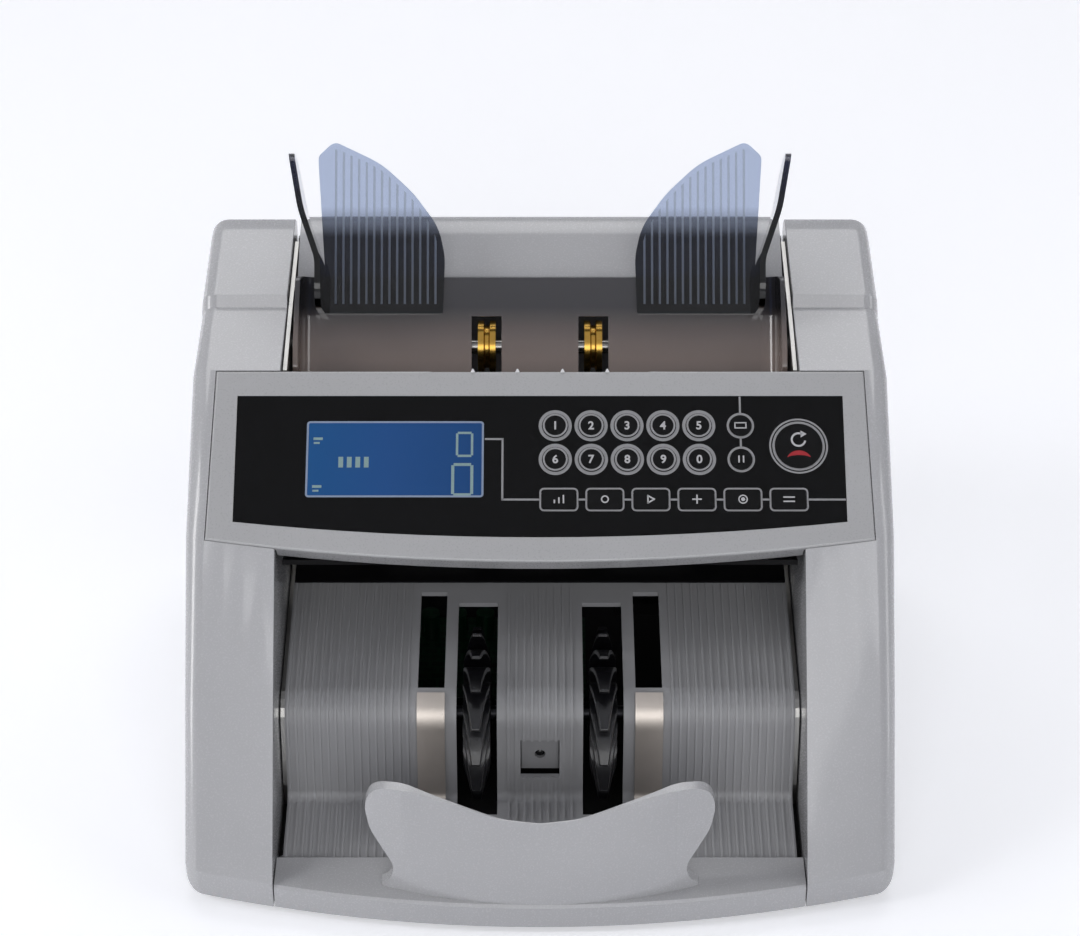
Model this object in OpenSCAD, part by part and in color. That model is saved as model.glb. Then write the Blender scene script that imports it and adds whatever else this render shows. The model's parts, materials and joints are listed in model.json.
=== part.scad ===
// Desktop banknote counting machine. Millimetres, +Z up, the front faces -Y.
// The origin is on the surface it stands on, under the middle of the machine.

/* [Overall size] */
// Width over the two side covers
body_w = 282; // [262:1:340]
// Depth from the bow of the tray to the back
body_d = 258; // [250:1:310]
// Height of the top cover above the surface
body_h = 178; // [174:1:214]

/* [Side covers] */
// Width of each cheek beside the stacker pocket
cheek_w = 36; // [33:1:44]
// Rounding of the outer shoulders
shoulder_r = 7; // [5:0.5:8.5]
// Wall of the moulded covers
wall = 2.4; // [2:0.1:2.8]
// Height of the upright band round the base
band_h = 15; // [13:0.5:18]
// Radius of the bowed front in plan
bow_r = 480; // [400:10:700]
// Height of the rubber feet
foot_h = 3; // [2:0.5:3]

/* [Control panel] */
// Slope of the control panel
panel_tilt = 35; // [33:1:37]
// Length of the panel along its slope, at the middle
panel_len = 81.2; // [78:0.2:84]
// Width of the panel housing
panel_w = 264; // [250:1:268]
// Radius of the bowed lower edge of the panel
panel_bow_r = 955; // [800:5:1500]
// Skin of the panel housing
panel_skin = 2.5; // [2.2:0.1:3]
// Width of the glossy overlay
overlay_w = 243.6; // [240:0.2:248]
// Thickness of the glossy overlay
overlay_t = 0.6; // [0.4:0.1:1]
// Depth of the finger recess in the rear edge of the panel
recess_d = 6; // [4:0.5:8]
// Half width of the finger recess
recess_half = 48; // [35:1:55]

/* [Display and keys] */
// Width of the display window
lcd_w = 71; // [60:0.5:74]
// Height of the display window
lcd_h = 32.4; // [26:0.2:36]
// Distance between the digit keys
key_pitch = 14.4; // [13.6:0.1:14.6]
// Radius of a digit key
digit_key_r = 5.1; // [4:0.1:5.4]
// Radius of the two small round keys
small_key_r = 4.4; // [3.8:0.1:5]
// Radius of the large round key
large_key_r = 9.4; // [8:0.1:10]
// Width of a function key
function_key_w = 13.8; // [11:0.1:15]
// Height of a function key
function_key_h = 8.2; // [6:0.1:9]
// Distance between the function keys
function_pitch = 18.3; // [17.6:0.1:18.4]
// Travel of each key
key_travel = 0.4; // [0.3:0.05:0.4]
// Clearance round each key
key_gap = 0.15; // [0.1:0.05:0.3]

/* [Hopper] */
// Slope of the hopper cover
hopper_tilt = 52; // [49:1:55]
// Length of the hopper cover below its pivot
hopper_len = 40; // [37:0.5:41]
// Thickness of the hopper cover
hopper_t = 2.1; // [1.8:0.1:2.4]
// Distance of the cover's back from the pivot
hopper_off = 3.4; // [3.3:0.1:3.8]
// Width of each roller slot in the hopper cover
slot_w = 12.5; // [11:0.5:14]
// Distance of each roller slot from the middle
slot_x = 22.3; // [20:0.1:25]
// Diameter of the guide rail
rail_d = 3.5; // [3:0.1:3.8]

/* [Note guides] */
// Width of a ribbed fin
fin_w = 48; // [40:1:50]
// Height of a ribbed fin above the pivot
fin_h = 61; // [50:1:66]
// Thickness of a ribbed fin
fin_t = 2.2; // [1.8:0.1:2.6]
// Distance between the ribs of a fin
fin_rib_pitch = 3.2; // [3:0.1:5]
// Forward reach of the side fin
side_fin_reach = 30; // [20:1:32]

/* [Stacker] */
// Radius over the vanes of a stacker wheel
wheel_r = 35; // [30:0.5:36]
// Width of a stacker wheel
wheel_w = 11; // [9:0.5:12]
// Distance of each stacker wheel from the middle
wheel_x = 25.5; // [24:0.5:27]
// Vanes on a stacker wheel
vane_count = 14; // [8:1:16]
// Width of each wheel slot in the ribbed plate
wheel_slot_w = 16.3; // [14:0.1:17]
// Thickness of the ribbed plate
plate_t = 2; // [1.6:0.1:2.4]
// Distance between the ribs of the ribbed plate
rib_pitch = 3.2; // [3:0.1:5]
// Height of the ribs of the ribbed plate
rib_h = 0.8; // [0.5:0.1:1.2]
// Width of each steel strip
strip_w = 11.2; // [9:0.1:12]
// Distance of each steel strip from the middle
strip_x = 43.9; // [43:0.1:46]
// Height of the lobes of the front stack plate
stack_plate_h = 51.5; // [40:0.5:56]
// Half width over the lobes
stack_plate_half = 67; // [58:0.5:72]

/* [Drive] */
// Thickness of the steel side frames
frame_t = 1.6; // [1.2:0.1:1.8]
// Diameter of the feed and transport shafts
shaft_d = 8; // [6:0.5:9]
// Diameter of the light shafts
thin_shaft_d = 6; // [5:0.5:7]
// Radius of the pickup rollers
pickup_r = 11; // [10:0.5:11.5]
// Radius of the feed rollers
feed_r = 16; // [14:0.5:16]
// Radius of the retard rollers
retard_r = 11; // [9:0.5:11]
// Radius of the transport rollers
transport_r = 12; // [10:0.5:12]
// Radius of the pinch rollers
pinch_r = 8; // [6:0.5:8]
// Diameter of the drive motor
motor_d = 36; // [30:1:40]
// Running clearance of a shaft in its bearing, on the radius
run_gap = 0.05; // [0.02:0.01:0.1]

/* [Hidden] */
$fn = 64;
fine_fn = 720;
seat = 0.3;
eps = 0.01;

half_w = body_w / 2;
front_y = -body_d / 2;
rear_y = body_d / 2;
pocket_x = half_w - cheek_w;
frame_outer = pocket_x - 0.5;
frame_inner = frame_outer - frame_t;
inner_half = frame_inner - seat;

// Panel: its rear edge is set, and the lip follows down the slope.
panel_rear_y = rear_y - 103.1;
panel_rear_z = body_h - 16;
lip_y = panel_rear_y - panel_len * cos(panel_tilt);
lip_z = panel_rear_z - panel_len * sin(panel_tilt);
overlay_top = panel_len - 11;
overlay_low = 10.3;
overlay_bow_r = 1150;
lcd_x = -58;
lcd_s = 43.2;
digit_x = 6.1;
digit_s = 57.3;
small_key_x = 80.4;
large_key_x = 103.5;
large_key_s = 48.6;
function_x = 7.5;
function_s = 25.9;
board_top = -4.4;
board_t = 1.6;
board_x0 = -8;
board_x1 = 118;
board_s0 = 17;
board_s1 = 68;
key_bottom = board_top + 0.5;
key_top = 0.45;
flange_t = 0.8;

// Pivot of the hopper cover, which is the axis of the guide rail
rail_y = rear_y - 47;
rail_z = body_h - 11.8;
rail_r = rail_d / 2;
hopper_front = hopper_off + hopper_t;
hopper_top = 4.5;
hopper_half = inner_half - 1;
bend_r = 8;
slot_top = -11.9;
fin_off = hopper_front + 0.4;
fin_low = -11;
fin_outer_x = hopper_half - 13.1;

// Shafts, as [y, z]. Those of the feed hang on the hopper, the stacker's on the base.
base_top = foot_h + 2;
pickup_c = [rail_y - 9, rail_z - 22.6];
feed_c = [rail_y - 22, rail_z - 54.2];
retard_c = [feed_c[0] - 27.3, feed_c[1] + 2];
transport_c = [feed_c[0] - 22, feed_c[1] - 28];
pinch_c = [transport_c[0] - 16.5, transport_c[1] + 11.7];
stacker_c = [front_y + 83, base_top + wheel_r + 2.5];
motor_c = [rear_y - 34, base_top + 35];
roller_xs = [-slot_x, slot_x];

pickup_pulley_r = 9;
feed_pulley_r = 10;
feed_out_pulley_r = 9;
transport_in_r = 12;
transport_feed_r = 9;
transport_out_r = 7;
stacker_pulley_r = 14;
motor_pulley_r = 6;
belt_t = 1.2;
belt_w = 5;
belt_gap = 0.25;
lane_1 = frame_outer + 2.5;
lane_2 = lane_1 + belt_w + 3;

// Ribbed plate, from the roof under the throat to the floor of the pocket
wall_y = front_y + 62;
roof_z = base_top + 52.5;
floor_z = base_top + 10.5;
rim_d = 28;
rim_z = foot_h + 11;
roof_corner = [wall_y + 7, roof_z];
sensor_z = base_top + 28;
ribbed_path = fillet_path(
    [[transport_c[0] - 18, transport_c[1] - 13.5], roof_corner, [wall_y, floor_z],
     [front_y + rim_d + 0.4, base_top + 5.5]], 15, 5, 4);

// Back and inside: the board, the inlet and the rocker switch
board_y0 = stacker_c[0] + 48;
board_w = 80;
board_d = 56;
inlet_x = -16;
inlet_z = base_top + 26;
switch_x = 18;
rocker_r = 6.4;
rocker_w = 18;
rocker_swing = 18;
rocker_c = [rear_y - 3.9, inlet_z];
rocker_pin_r = 1.2;
well_half = rocker_w / 2 + 0.5;
well_d = 10;
vent_x = 40;

function bow(x) = x * x / (2 * bow_r);
function lip_bow(x) = x * x / (2 * panel_bow_r);
function unit(v) = v / norm(v);
function left_of(v) = [-v[1], v[0]];
function last(v) = v[len(v) - 1];
function flip(v) = [for (i = [len(v) - 1:-1:0]) v[i]];
function arc(c, r, a0, a1, n = 8) =
    [for (i = [0:n]) let (a = a0 + (a1 - a0) * i / n) c + r * [cos(a), sin(a)]];

// A point on the panel: s runs up its slope, h stands out from it.
function panel_point(s, h = 0) =
    [lip_y + s * cos(panel_tilt) - h * sin(panel_tilt),
     lip_z + s * sin(panel_tilt) + h * cos(panel_tilt)];

// The corner at p between the points a and b, rounded with the radius r
function fillet_corner(a, p, b, r, n = 6) =
    let (u = unit(a - p), v = unit(b - p), half = acos(u * v) / 2,
         c = p + unit(u + v) * r / sin(half),
         t0 = p + u * r / tan(half), t1 = p + v * r / tan(half),
         a0 = atan2(t0[1] - c[1], t0[0] - c[0]),
         raw = atan2(t1[1] - c[1], t1[0] - c[0]) - a0,
         sweep = raw > 180 ? raw - 360 : raw < -180 ? raw + 360 : raw)
    half > 89 ? [p] : arc(c, r, a0, a0 + sweep, n);

// An open path with every corner rounded; the first corner takes r0, the others r
function fillet_path(p, r0, r, n = 6) = concat([p[0]],
    [for (i = [1:len(p) - 2])
        each fillet_corner(p[i - 1], p[i], p[i + 1], i == 1 ? r0 : r, n)],
    [last(p)]);

// A closed outline with every corner rounded with its own radius
function fillet_loop(p, r, n = 5) = [for (i = [0:len(p) - 1])
    each (r[i] == 0 ? [p[i]] :
        fillet_corner(p[(i + len(p) - 1) % len(p)], p[i], p[(i + 1) % len(p)], r[i], n))];

// An open path moved sideways by d, to the left of its direction
function moved_path(p, d) = [for (i = [0:len(p) - 1])
    let (a = unit(i == 0 ? p[1] - p[0] : p[i] - p[i - 1]),
         b = unit(i == len(p) - 1 ? p[i] - p[i - 1] : p[i + 1] - p[i]),
         n = left_of(a), m = left_of(b))
    p[i] + d * (n + m) / (1 + n * m)];

// A band between two offsets of a path
function band(p, d0, d1) = concat(moved_path(p, d0), flip(moved_path(p, d1)));

// A closed anticlockwise outline drawn in by d
function inset_loop(p, d) = [for (i = [0:len(p) - 1])
    let (n = left_of(unit(p[i] - p[(i + len(p) - 1) % len(p)])),
         m = left_of(unit(p[(i + 1) % len(p)] - p[i])))
    p[i] + d * (n + m) / (1 + n * m)];

// Extrudes a shape drawn as [y, z] along X, from x0 to x1.
module along_x(x0, x1) {
    translate([x0, 0, 0]) rotate([90, 0, 90]) linear_extrude(x1 - x0) children();
}

// Places children in the plane of the control panel.
module on_panel() {
    translate([0, lip_y, lip_z]) rotate([panel_tilt, 0, 0]) children();
}

// Places children on the hopper cover: Y runs up along it, Z stands out to the front.
module on_hopper() {
    translate([0, rail_y, rail_z]) rotate([hopper_tilt, 0, 0]) children();
}

// A round bar along X through the point c = [y, z]
module bar_x(c, x0, x1, r) {
    translate([x0, c[0], c[1]]) rotate([0, 90, 0]) cylinder(h = x1 - x0, r = r);
}

module mirrored() {
    children();
    mirror([1, 0, 0]) children();
}

// ---- Housing ----

// The outline of a side cover in the YZ plane, at the distance x from the middle
function side_outline(x) =
    let (f = front_y + bow(x), lip = panel_point(lip_bow(x) + 1.4, -0.3),
         rear = panel_point(panel_len + 0.6, -0.3))
    fillet_loop(
        [[f, foot_h], [rear_y, foot_h], [rear_y, body_h - 1.5], [rear_y - 14, body_h - 1.5],
         [rear_y - 58, body_h - 7.5], [rear_y - 61, body_h - 12], rear, lip,
         (lip + [f, band_h]) / 2 + [-1.6, 1.2], [f, band_h]],
        [0, 0, 8, 30, 0, 0, 0, 0, 0, 0]);

// The skin of a side cover, lofted through outlines that shrink towards the outer face
module side_loft(inset, x_start, x_end) {
    round_steps = 6;
    flat_x = half_w - shoulder_r;
    xs = concat([for (i = [0:4]) x_start + (flat_x - x_start) * i / 4],
        [for (i = [1:round_steps]) flat_x + (x_end - flat_x) * sin(90 * i / round_steps)]);
    drawn = concat([for (i = [0:4]) 0],
        [for (i = [1:round_steps]) shoulder_r * (1 - cos(90 * i / round_steps))]);
    loops = [for (i = [0:len(xs) - 1])
        [for (q = inset_loop(side_outline(xs[i]), drawn[i] + inset)) [xs[i], q[0], q[1]]]];
    n = len(loops[0]);
    polyhedron(
        points = [for (l = loops) each l],
        faces = concat(
            [[for (j = [0:n - 1]) j]],
            [for (i = [0:len(xs) - 2]) for (j = [0:n - 1]) let (k = (j + 1) % n)
                each [[i * n + j, (i + 1) * n + k, i * n + k],
                      [i * n + j, (i + 1) * n + j, (i + 1) * n + k]]],
            [[for (j = [n - 1:-1:0]) (len(xs) - 1) * n + j]]));
}

// The opening in the cheek's inner wall, which the side frame closes
function window_outline() =
    [[wall_y + 12, -1], [wall_y + 13, roof_z - 11], [wall_y + 24, roof_z - 5.5],
     [transport_c[0] - 19, transport_c[1] - 18.5], [pinch_c[0] - 8, pinch_c[1] - 12],
     [pinch_c[0] - 8, pinch_c[1] + 10], [retard_c[0] - 7, retard_c[1] + 18],
     [rail_y - 30, rail_z - 12], [rear_y - 16, body_h - 18], [rear_y - 8, body_h - 30],
     [rear_y - 8, -1]];

module side_window() {
    along_x(pocket_x - 1, pocket_x + wall + 1) polygon(window_outline());
    // room for the key board and the largest keys
    on_panel() translate([0, board_s0 - 3, -9])
        cube([board_x1 + 2, board_s1 - board_s0 + 6, 9]);
}

module side_cover() {
    ledge_x = half_w - 11;
    spare = 3;
    difference() {
        intersection() {
            side_loft(0, pocket_x - spare, half_w);
            translate([pocket_x, front_y - 1, 0]) cube([half_w, body_d + 2, body_h]);
        }
        difference() {
            intersection() {
                side_loft(wall, pocket_x + wall - spare, half_w - wall);
                translate([pocket_x + wall, front_y, 0]) cube([half_w, body_d, body_h]);
            }
            on_panel() translate([0, -20, -panel_skin - 0.1 - wall])
                cube([half_w, panel_len + 20, 30]);
        }
        side_window();
        intersection() {
            translate([pocket_x - 1, front_y, foot_h - 1])
                cube([ledge_x - pocket_x + 1.3, body_d - wall, base_top + seat - foot_h + 1]);
            translate([0, front_y + bow_r, 0])
                cylinder(h = 20, r = bow_r - wall - 0.3, $fn = fine_fn);
        }
        on_panel() translate([0, 0, -panel_skin - 0.1]) linear_extrude(20)
            panel_outline(0.15);
    }
}

module side_cover_left() { color("gainsboro") mirror([1, 0, 0]) side_cover(); }
module side_cover_right() { color("gainsboro") side_cover(); }

module base_chassis() {
    pan_half = half_w - 11;
    rim_half = pocket_x - 0.4;
    color("gainsboro") {
        difference() {
            union() {
                intersection() {
                    translate([-pan_half, front_y, foot_h])
                        cube([2 * pan_half, body_d - wall - 0.6, base_top - foot_h]);
                    translate([0, front_y + bow_r, 0])
                        cylinder(h = 20, r = bow_r - wall - 0.6, $fn = fine_fn);
                }
                difference() {
                    intersection() {
                        translate([-rim_half, front_y, foot_h])
                            cube([2 * rim_half, rim_d, rim_z - foot_h]);
                        translate([0, front_y + bow_r, foot_h]) union() {
                            cylinder(h = rim_z - foot_h - 1, r = bow_r, $fn = fine_fn);
                            translate([0, 0, rim_z - foot_h - 1])
                                cylinder(h = 1, r1 = bow_r, r2 = bow_r - 1, $fn = fine_fn);
                        }
                    }
                    intersection() {
                        translate([-rim_half + wall, front_y, base_top])
                            cube([2 * (rim_half - wall), rim_d - wall, rim_z - base_top - wall]);
                        translate([0, front_y + bow_r, 0])
                            cylinder(h = 20, r = bow_r - wall, $fn = fine_fn);
                    }
                }
                base_posts();
            }
            foot_places() cylinder(h = base_top * 4, r = 2, center = true);
            mirrored() stack_plate_tab(0.15);
        }
    }
}

module foot_places() {
    for (x = [-1, 1]) for (y = [front_y + 44, rear_y - 24])
        translate([x * (pocket_x - 12), y, 0]) children();
}

// The posts that carry the board and the transformer
module base_posts() {
    for (x = [-60, 10]) for (y = [board_y0 + 5, board_y0 + board_d - 5])
        translate([x + 5, y, base_top - eps]) cylinder(h = 4, r = 3);
}

module rubber_feet() {
    color("dimgray") foot_places() {
        cylinder(h = foot_h, r1 = 7, r2 = 8);
        translate([0, 0, foot_h]) cylinder(h = base_top - foot_h, r = 1.9);
    }
}

// The cover over the mechanism, between the two side covers
function top_path() = fillet_loop(
    [[rear_y, body_h - 12.7], [rear_y, body_h], [rear_y - 14, body_h - 0.4],
     [rear_y - 38.5, body_h - 11], [rear_y - 38.5, body_h - 17],
     [rear_y - 38.5 + wall, body_h - 17], [rear_y - 38.5 + wall, body_h - 12.6],
     [rear_y - 14, body_h - 0.4 - wall], [rear_y - wall, body_h - wall],
     [rear_y - wall, body_h - 12.7]],
    [0, 8, 26, 1.2, 0, 0, 0, 26 + wall, 5.6, 0]);

module top_cover() {
    cover_half = inner_half - 0.3;
    color("gainsboro") {
        along_x(-cover_half, cover_half) polygon(top_path());
        mirrored() along_x(cover_half - wall, cover_half - eps)
            polygon([[rear_y - 37.5, body_h - 17], [rear_y - 37.5, body_h - 12.2],
                [rear_y - 16, body_h - 3], [rear_y - 1.5, body_h - 3], [rear_y - 1.5, body_h - 12.7],
                [rear_y - 14, body_h - 17]]);
    }
}

module rear_panel() {
    half = pocket_x - 0.4;
    panel_top = body_h - 13;
    color("gainsboro") {
        difference() {
            union() {
                translate([-half, rear_y - wall, foot_h + 0.2])
                    cube([2 * half, wall, panel_top - foot_h - 0.2]);
                // the open box that the rocker swings in
                translate([switch_x, rear_y - well_d, inlet_z]) well_block(1.5, well_d - 0.4);
            }
            translate([inlet_x - 13.7, rear_y - 10, inlet_z - 9.9]) cube([27.4, 20, 19.8]);
            translate([switch_x, rear_y - well_d + 1.5, inlet_z]) well_block(0, well_d);
            for (i = [0:8])
                translate([vent_x, rear_y - 10, base_top + 18 + 7 * i]) cube([48, 20, 3]);
            for (x = [-1, 1]) for (z = [foot_h + 7, panel_top - 10])
                bar_y([x * (half - 9), z], rear_y - 10, rear_y + 1, 1.6);
        }
        // the two pins that the rocker turns on
        for (s = [-1, 1])
            bar_x(rocker_c, switch_x + s * well_half - 2, switch_x + s * well_half + 2, rocker_pin_r);
    }
}

module well_block(grow, depth) {
    translate([-well_half - grow, 0, -rocker_r - 0.4 - grow])
        cube([2 * (well_half + grow), depth, 2 * (rocker_r + 0.4 + grow)]);
}

module bar_y(c, y0, y1, r) {
    translate([c[0], y0, c[1]]) rotate([-90, 0, 0]) cylinder(h = y1 - y0, r = r);
}

// ---- Control panel ----

module panel_outline(grow = 0) {
    side = panel_w / 2 + grow;
    intersection() {
        polygon([[-side - 1, 0], [side + 1, 0], [side - 1.1, panel_len + grow],
            [-side + 1.1, panel_len + grow]]);
        translate([0, panel_bow_r - grow]) circle(r = panel_bow_r, $fn = fine_fn);
    }
}

module overlay_outline(grow = 0) {
    side = overlay_w / 2 + grow;
    intersection() {
        polygon([[-side, 0], [side, 0], [side, overlay_top + grow], [-side, overlay_top + grow]]);
        translate([0, overlay_low + overlay_bow_r - grow])
            circle(r = overlay_bow_r, $fn = fine_fn);
    }
}

module rounded_rect(w, h, r) {
    polygon(fillet_loop([[-w / 2, -h / 2], [w / 2, -h / 2], [w / 2, h / 2], [-w / 2, h / 2]],
        [r, r, r, r]));
}

// The outline of each key, grown by grow, at its place on the panel
module digit_outline(i, grow) {
    translate([digit_x + key_pitch * (i % 5), digit_s - key_pitch * floor(i / 5)])
        circle(r = digit_key_r + grow);
}

module small_outline(i, grow) {
    translate([small_key_x, digit_s - key_pitch * i]) circle(r = small_key_r + grow);
}

module large_outline(grow) {
    translate([large_key_x, large_key_s]) circle(r = large_key_r + grow);
}

module function_outline(i, grow) {
    translate([function_x + function_pitch * i, function_s])
        rounded_rect(function_key_w + 2 * grow, function_key_h + 2 * grow, 1.6 + grow);
}

module key_holes(grow) {
    for (i = [0:9]) digit_outline(i, grow);
    for (i = [0:1]) small_outline(i, grow);
    large_outline(grow);
    for (i = [0:5]) function_outline(i, grow);
}

module control_panel_bezel() {
    lip_half = pocket_x - 0.5;
    color("lightgray") on_panel() {
        difference() {
            union() {
                translate([0, 0, -panel_skin]) linear_extrude(panel_skin) panel_outline();
                // the lip over the stacker pocket
                intersection() {
                    translate([-lip_half, 0, -9]) cube([2 * lip_half, 14, 9 - panel_skin + eps]);
                    translate([0, panel_bow_r, -9]) difference() {
                        cylinder(h = 9, r = panel_bow_r, $fn = fine_fn);
                        translate([0, 0, -1])
                            cylinder(h = 11, r = panel_bow_r - 2.5, $fn = fine_fn);
                    }
                }
                // bosses for the key board
                for (x = [board_x0 + 4, board_x1 - 4]) for (s = [board_s0 + 3, board_s1 - 3])
                    translate([x, s, board_top]) cylinder(h = -board_top - panel_skin + eps, r = 2.4);
            }
            translate([0, 0, -overlay_t]) linear_extrude(1) overlay_outline(0.1);
            translate([0, 0, -10]) linear_extrude(20) key_holes(key_gap + 0.1);
            translate([lcd_x, lcd_s, -10]) linear_extrude(20)
                rounded_rect(lcd_w + 0.4, lcd_h + 0.4, 1.5);
            finger_recess();
        }
        // four small ribs that comb the notes at the rear edge
        for (x = [-27.2, -9.1, 9.1, 27.2])
            translate([x - 0.6, panel_len - recess_d + 0.2, -panel_skin + eps])
                cube([1.2, recess_d - 0.4, panel_skin - 1.4]);
    }
}

// The scoop in the rear edge of the panel, with sloping ends
module finger_recess() {
    translate([0, panel_len, 0]) rotate([90 - 16, 0, 0])
        linear_extrude(recess_d * 4, center = true)
            polygon([[-recess_half - 1, 1], [-recess_half, 0.4], [-recess_half + 4.5, -1.3],
                [recess_half - 4.5, -1.3], [recess_half, 0.4], [recess_half + 1, 1]]);
}

module panel_overlay() {
    color([0.1, 0.1, 0.11]) on_panel() translate([0, 0, -overlay_t + 0.02])
        linear_extrude(overlay_t) difference() {
            overlay_outline();
            key_holes(key_gap);
            translate([lcd_x, lcd_s]) rounded_rect(lcd_w + 0.3, lcd_h + 0.3, 1.5);
        }
}

module lcd_module() {
    color("steelblue") on_panel() translate([lcd_x, lcd_s, 0]) {
        translate([0, 0, -panel_skin - 0.1]) linear_extrude(panel_skin - 0.1)
            rounded_rect(lcd_w, lcd_h, 1.4);
        translate([-lcd_w / 2 - 4, -lcd_h / 2 - 4, -panel_skin - 5.1])
            cube([lcd_w + 8, lcd_h + 8, 5]);
    }
}

module keypad_board() {
    color("darkgreen") on_panel() difference() {
        translate([board_x0, board_s0, board_top - board_t])
            cube([board_x1 - board_x0, board_s1 - board_s0, board_t - 0.02]);
        for (x = [board_x0 + 4, board_x1 - 4]) for (s = [board_s0 + 3, board_s1 - 3])
            translate([x, s, board_top - 5]) cylinder(h = 10, r = 1.2);
    }
}

// A key: its cap stands in the overlay and a flange keeps it under the housing.
module key_body() {
    color([0.12, 0.12, 0.13]) on_panel() {
        translate([0, 0, key_bottom]) linear_extrude(key_top - key_bottom) children(0);
        translate([0, 0, key_bottom]) linear_extrude(flange_t) children(1);
    }
}

module digit_key(i) { key_body() { digit_outline(i, 0); digit_outline(i, 0.7); } }
module small_key(i) { key_body() { small_outline(i, 0); small_outline(i, 0.7); } }
module large_key() { key_body() { large_outline(0); large_outline(0.7); } }
module function_key(i) { key_body() { function_outline(i, 0); function_outline(i, 0.7); } }

// ---- Hopper ----

module hopper_cover() {
    low = -hopper_len;
    long = hopper_top - low;
    side_front = hopper_front + 19;
    color([0.35, 0.33, 0.32, 0.8]) on_hopper() difference() {
        union() {
            intersection() {
                // a bent sheet: plate, two bends and two side walls
                translate([0, hopper_top, 0]) rotate([90, 0, 0]) linear_extrude(long)
                    difference() {
                        translate([0, hopper_off]) sheet_outline(hopper_half, 30, bend_r + hopper_t);
                        translate([0, hopper_front])
                            sheet_outline(hopper_half - hopper_t, 31, bend_r);
                    }
                along_x(-hopper_half - 1, hopper_half + 1)
                    polygon(fillet_loop([[low, hopper_off - 1], [hopper_top, hopper_off - 1],
                        [hopper_top, hopper_front + 7], [low + 14, side_front],
                        [low, side_front]], [0, 0, 5, 9, 6]));
            }
            mirrored() hopper_knuckle();
        }
        for (x = [-slot_x, slot_x])
            translate([x - slot_w / 2, low - 1, 0]) cube([slot_w, slot_top - low + 1, 40]);
        bar_x([0, 0], -half_w, half_w, rail_r + run_gap);
        // windows over the retard and pinch rollers in the lower edge
        for (x = [-48.7, 48.7]) translate([x - 7.5, low - 1, 0]) cube([15, 4, 12]);
    }
}

// A U-shaped outline with round lower corners, open at the top
module sheet_outline(half, h, r) {
    polygon(fillet_loop([[-half, 0], [half, 0], [half, h], [-half, h]], [r, r, 0, 0], 8));
}

module hopper_knuckle() {
    x0 = hopper_half - 5;
    difference() {
        union() {
            bar_x([0, 0], x0, hopper_half - 0.6, rail_r + 1.4);
            translate([x0, -3, 0]) cube([4.4, 6, hopper_front + 1]);
        }
        translate([x0 - 1, -9, hopper_front]) cube([8, 20, 20]);
    }
}

// One note guide, drawn for the right side: ribbed fin, side fin and rail clip
module note_guide() {
    edge = fin_outer_x;
    inner = edge - fin_w;
    rib_count = floor((fin_w - 4) / fin_rib_pitch);
    top = fin_h - 6.8;
    side_path = fillet_path([[edge + 1, fin_low], [edge + 1, 9], [edge + 8, top - 24.7],
        [edge + 13.5, top + 3]], 20, 60);
    color([0.45, 0.55, 0.68, 0.7]) on_hopper() difference() {
        union() {
            translate([0, 0, fin_off]) linear_extrude(fin_t) fin_outline(edge, inner, 0);
            // ribs on the front of the fin
            intersection() {
                translate([0, 0, fin_off + fin_t - eps]) linear_extrude(0.6)
                    fin_outline(edge, inner, 2);
                for (i = [0:rib_count])
                    translate([inner + 2.6 + fin_rib_pitch * i, fin_low + 4, fin_off])
                        cube([0.9, 200, fin_t + 2]);
            }
            // the side fin, bent outwards above the hopper
            intersection() {
                translate([0, 0, fin_off]) linear_extrude(side_fin_reach)
                    polygon(band(side_path, 0, -2.4));
                along_x(0, half_w)
                    polygon(fillet_loop([[fin_low, fin_off], [fin_low, fin_off + side_fin_reach],
                        [top - 24, fin_off + side_fin_reach], [top, fin_off + 20], [top, fin_off]],
                        [0, 10, 14, 9, 6]));
            }
            translate([edge - 1, fin_low, fin_off]) cube([2 + eps, 16, fin_t]);
            guide_clip(edge);
        }
        bar_x([0, 0], 0, half_w, rail_r + run_gap);
    }
}

module guide_clip(edge) {
    clip_w = 14;
    x0 = edge - 30;
    for (x = [x0, x0 + clip_w - 4]) difference() {
        union() {
            bar_x([0, 0], x, x + 4, rail_r + 1.4);
            translate([x, 0, 0.8]) cube([4, 6.4, 1.8]);
            translate([x, 4.9, 0.8]) cube([4, 1.5, fin_off]);
        }
        translate([x - 1, -9, hopper_off - 0.1]) cube([6, 13.9, 3]);
    }
}

// The leaf outline of a ribbed fin
module fin_outline(edge, inner, draw_in) {
    polygon(fillet_loop(
        [[inner + draw_in, fin_low + draw_in * 2], [edge - draw_in / 2, fin_low + draw_in * 2],
         [edge + 4.2 - draw_in, fin_h - 6], [edge - 2.6, fin_h + 0.3 - draw_in * 1.4],
         [edge - 22.5, fin_h - 9.2 - draw_in * 1.2], [inner + fin_w / 4, fin_h - 21.8 - draw_in * 1.4],
         [inner + 1.8 + draw_in, fin_h - 35.8 - draw_in / 2], [inner - 0.9 + draw_in, fin_h - 48]],
        [0.8, 0.8, 4, 4, 40, 50, 26, 30], 8));
}

module guide_left() { mirror([1, 0, 0]) note_guide(); }
module guide_right() { note_guide(); }

module guide_rail() {
    color("silver") bar_x([rail_y, rail_z], -frame_outer + 0.1, frame_outer - 0.1, rail_r);
}

// ---- Side frames and note path ----

function frame_outline() = concat(
    [[wall_y + 9, base_top], [rear_y - 8, base_top], [rear_y - 8, body_h - 20],
     [rear_y - 18, body_h - 5.5], [rear_y - 57, body_h - 11], [panel_rear_y + 5, body_h - 19],
     [retard_c[0] - 9, retard_c[1] + 19], [pinch_c[0] - 10, pinch_c[1] + 10],
     [pinch_c[0] - 10, pinch_c[1] - 13]],
    [for (q = moved_path(ribbed_path, 3)) if (q[1] > base_top + 14) q],
    [[wall_y + 3.4, base_top + 14], [wall_y + 3.4, base_top + 4]]);

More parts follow.
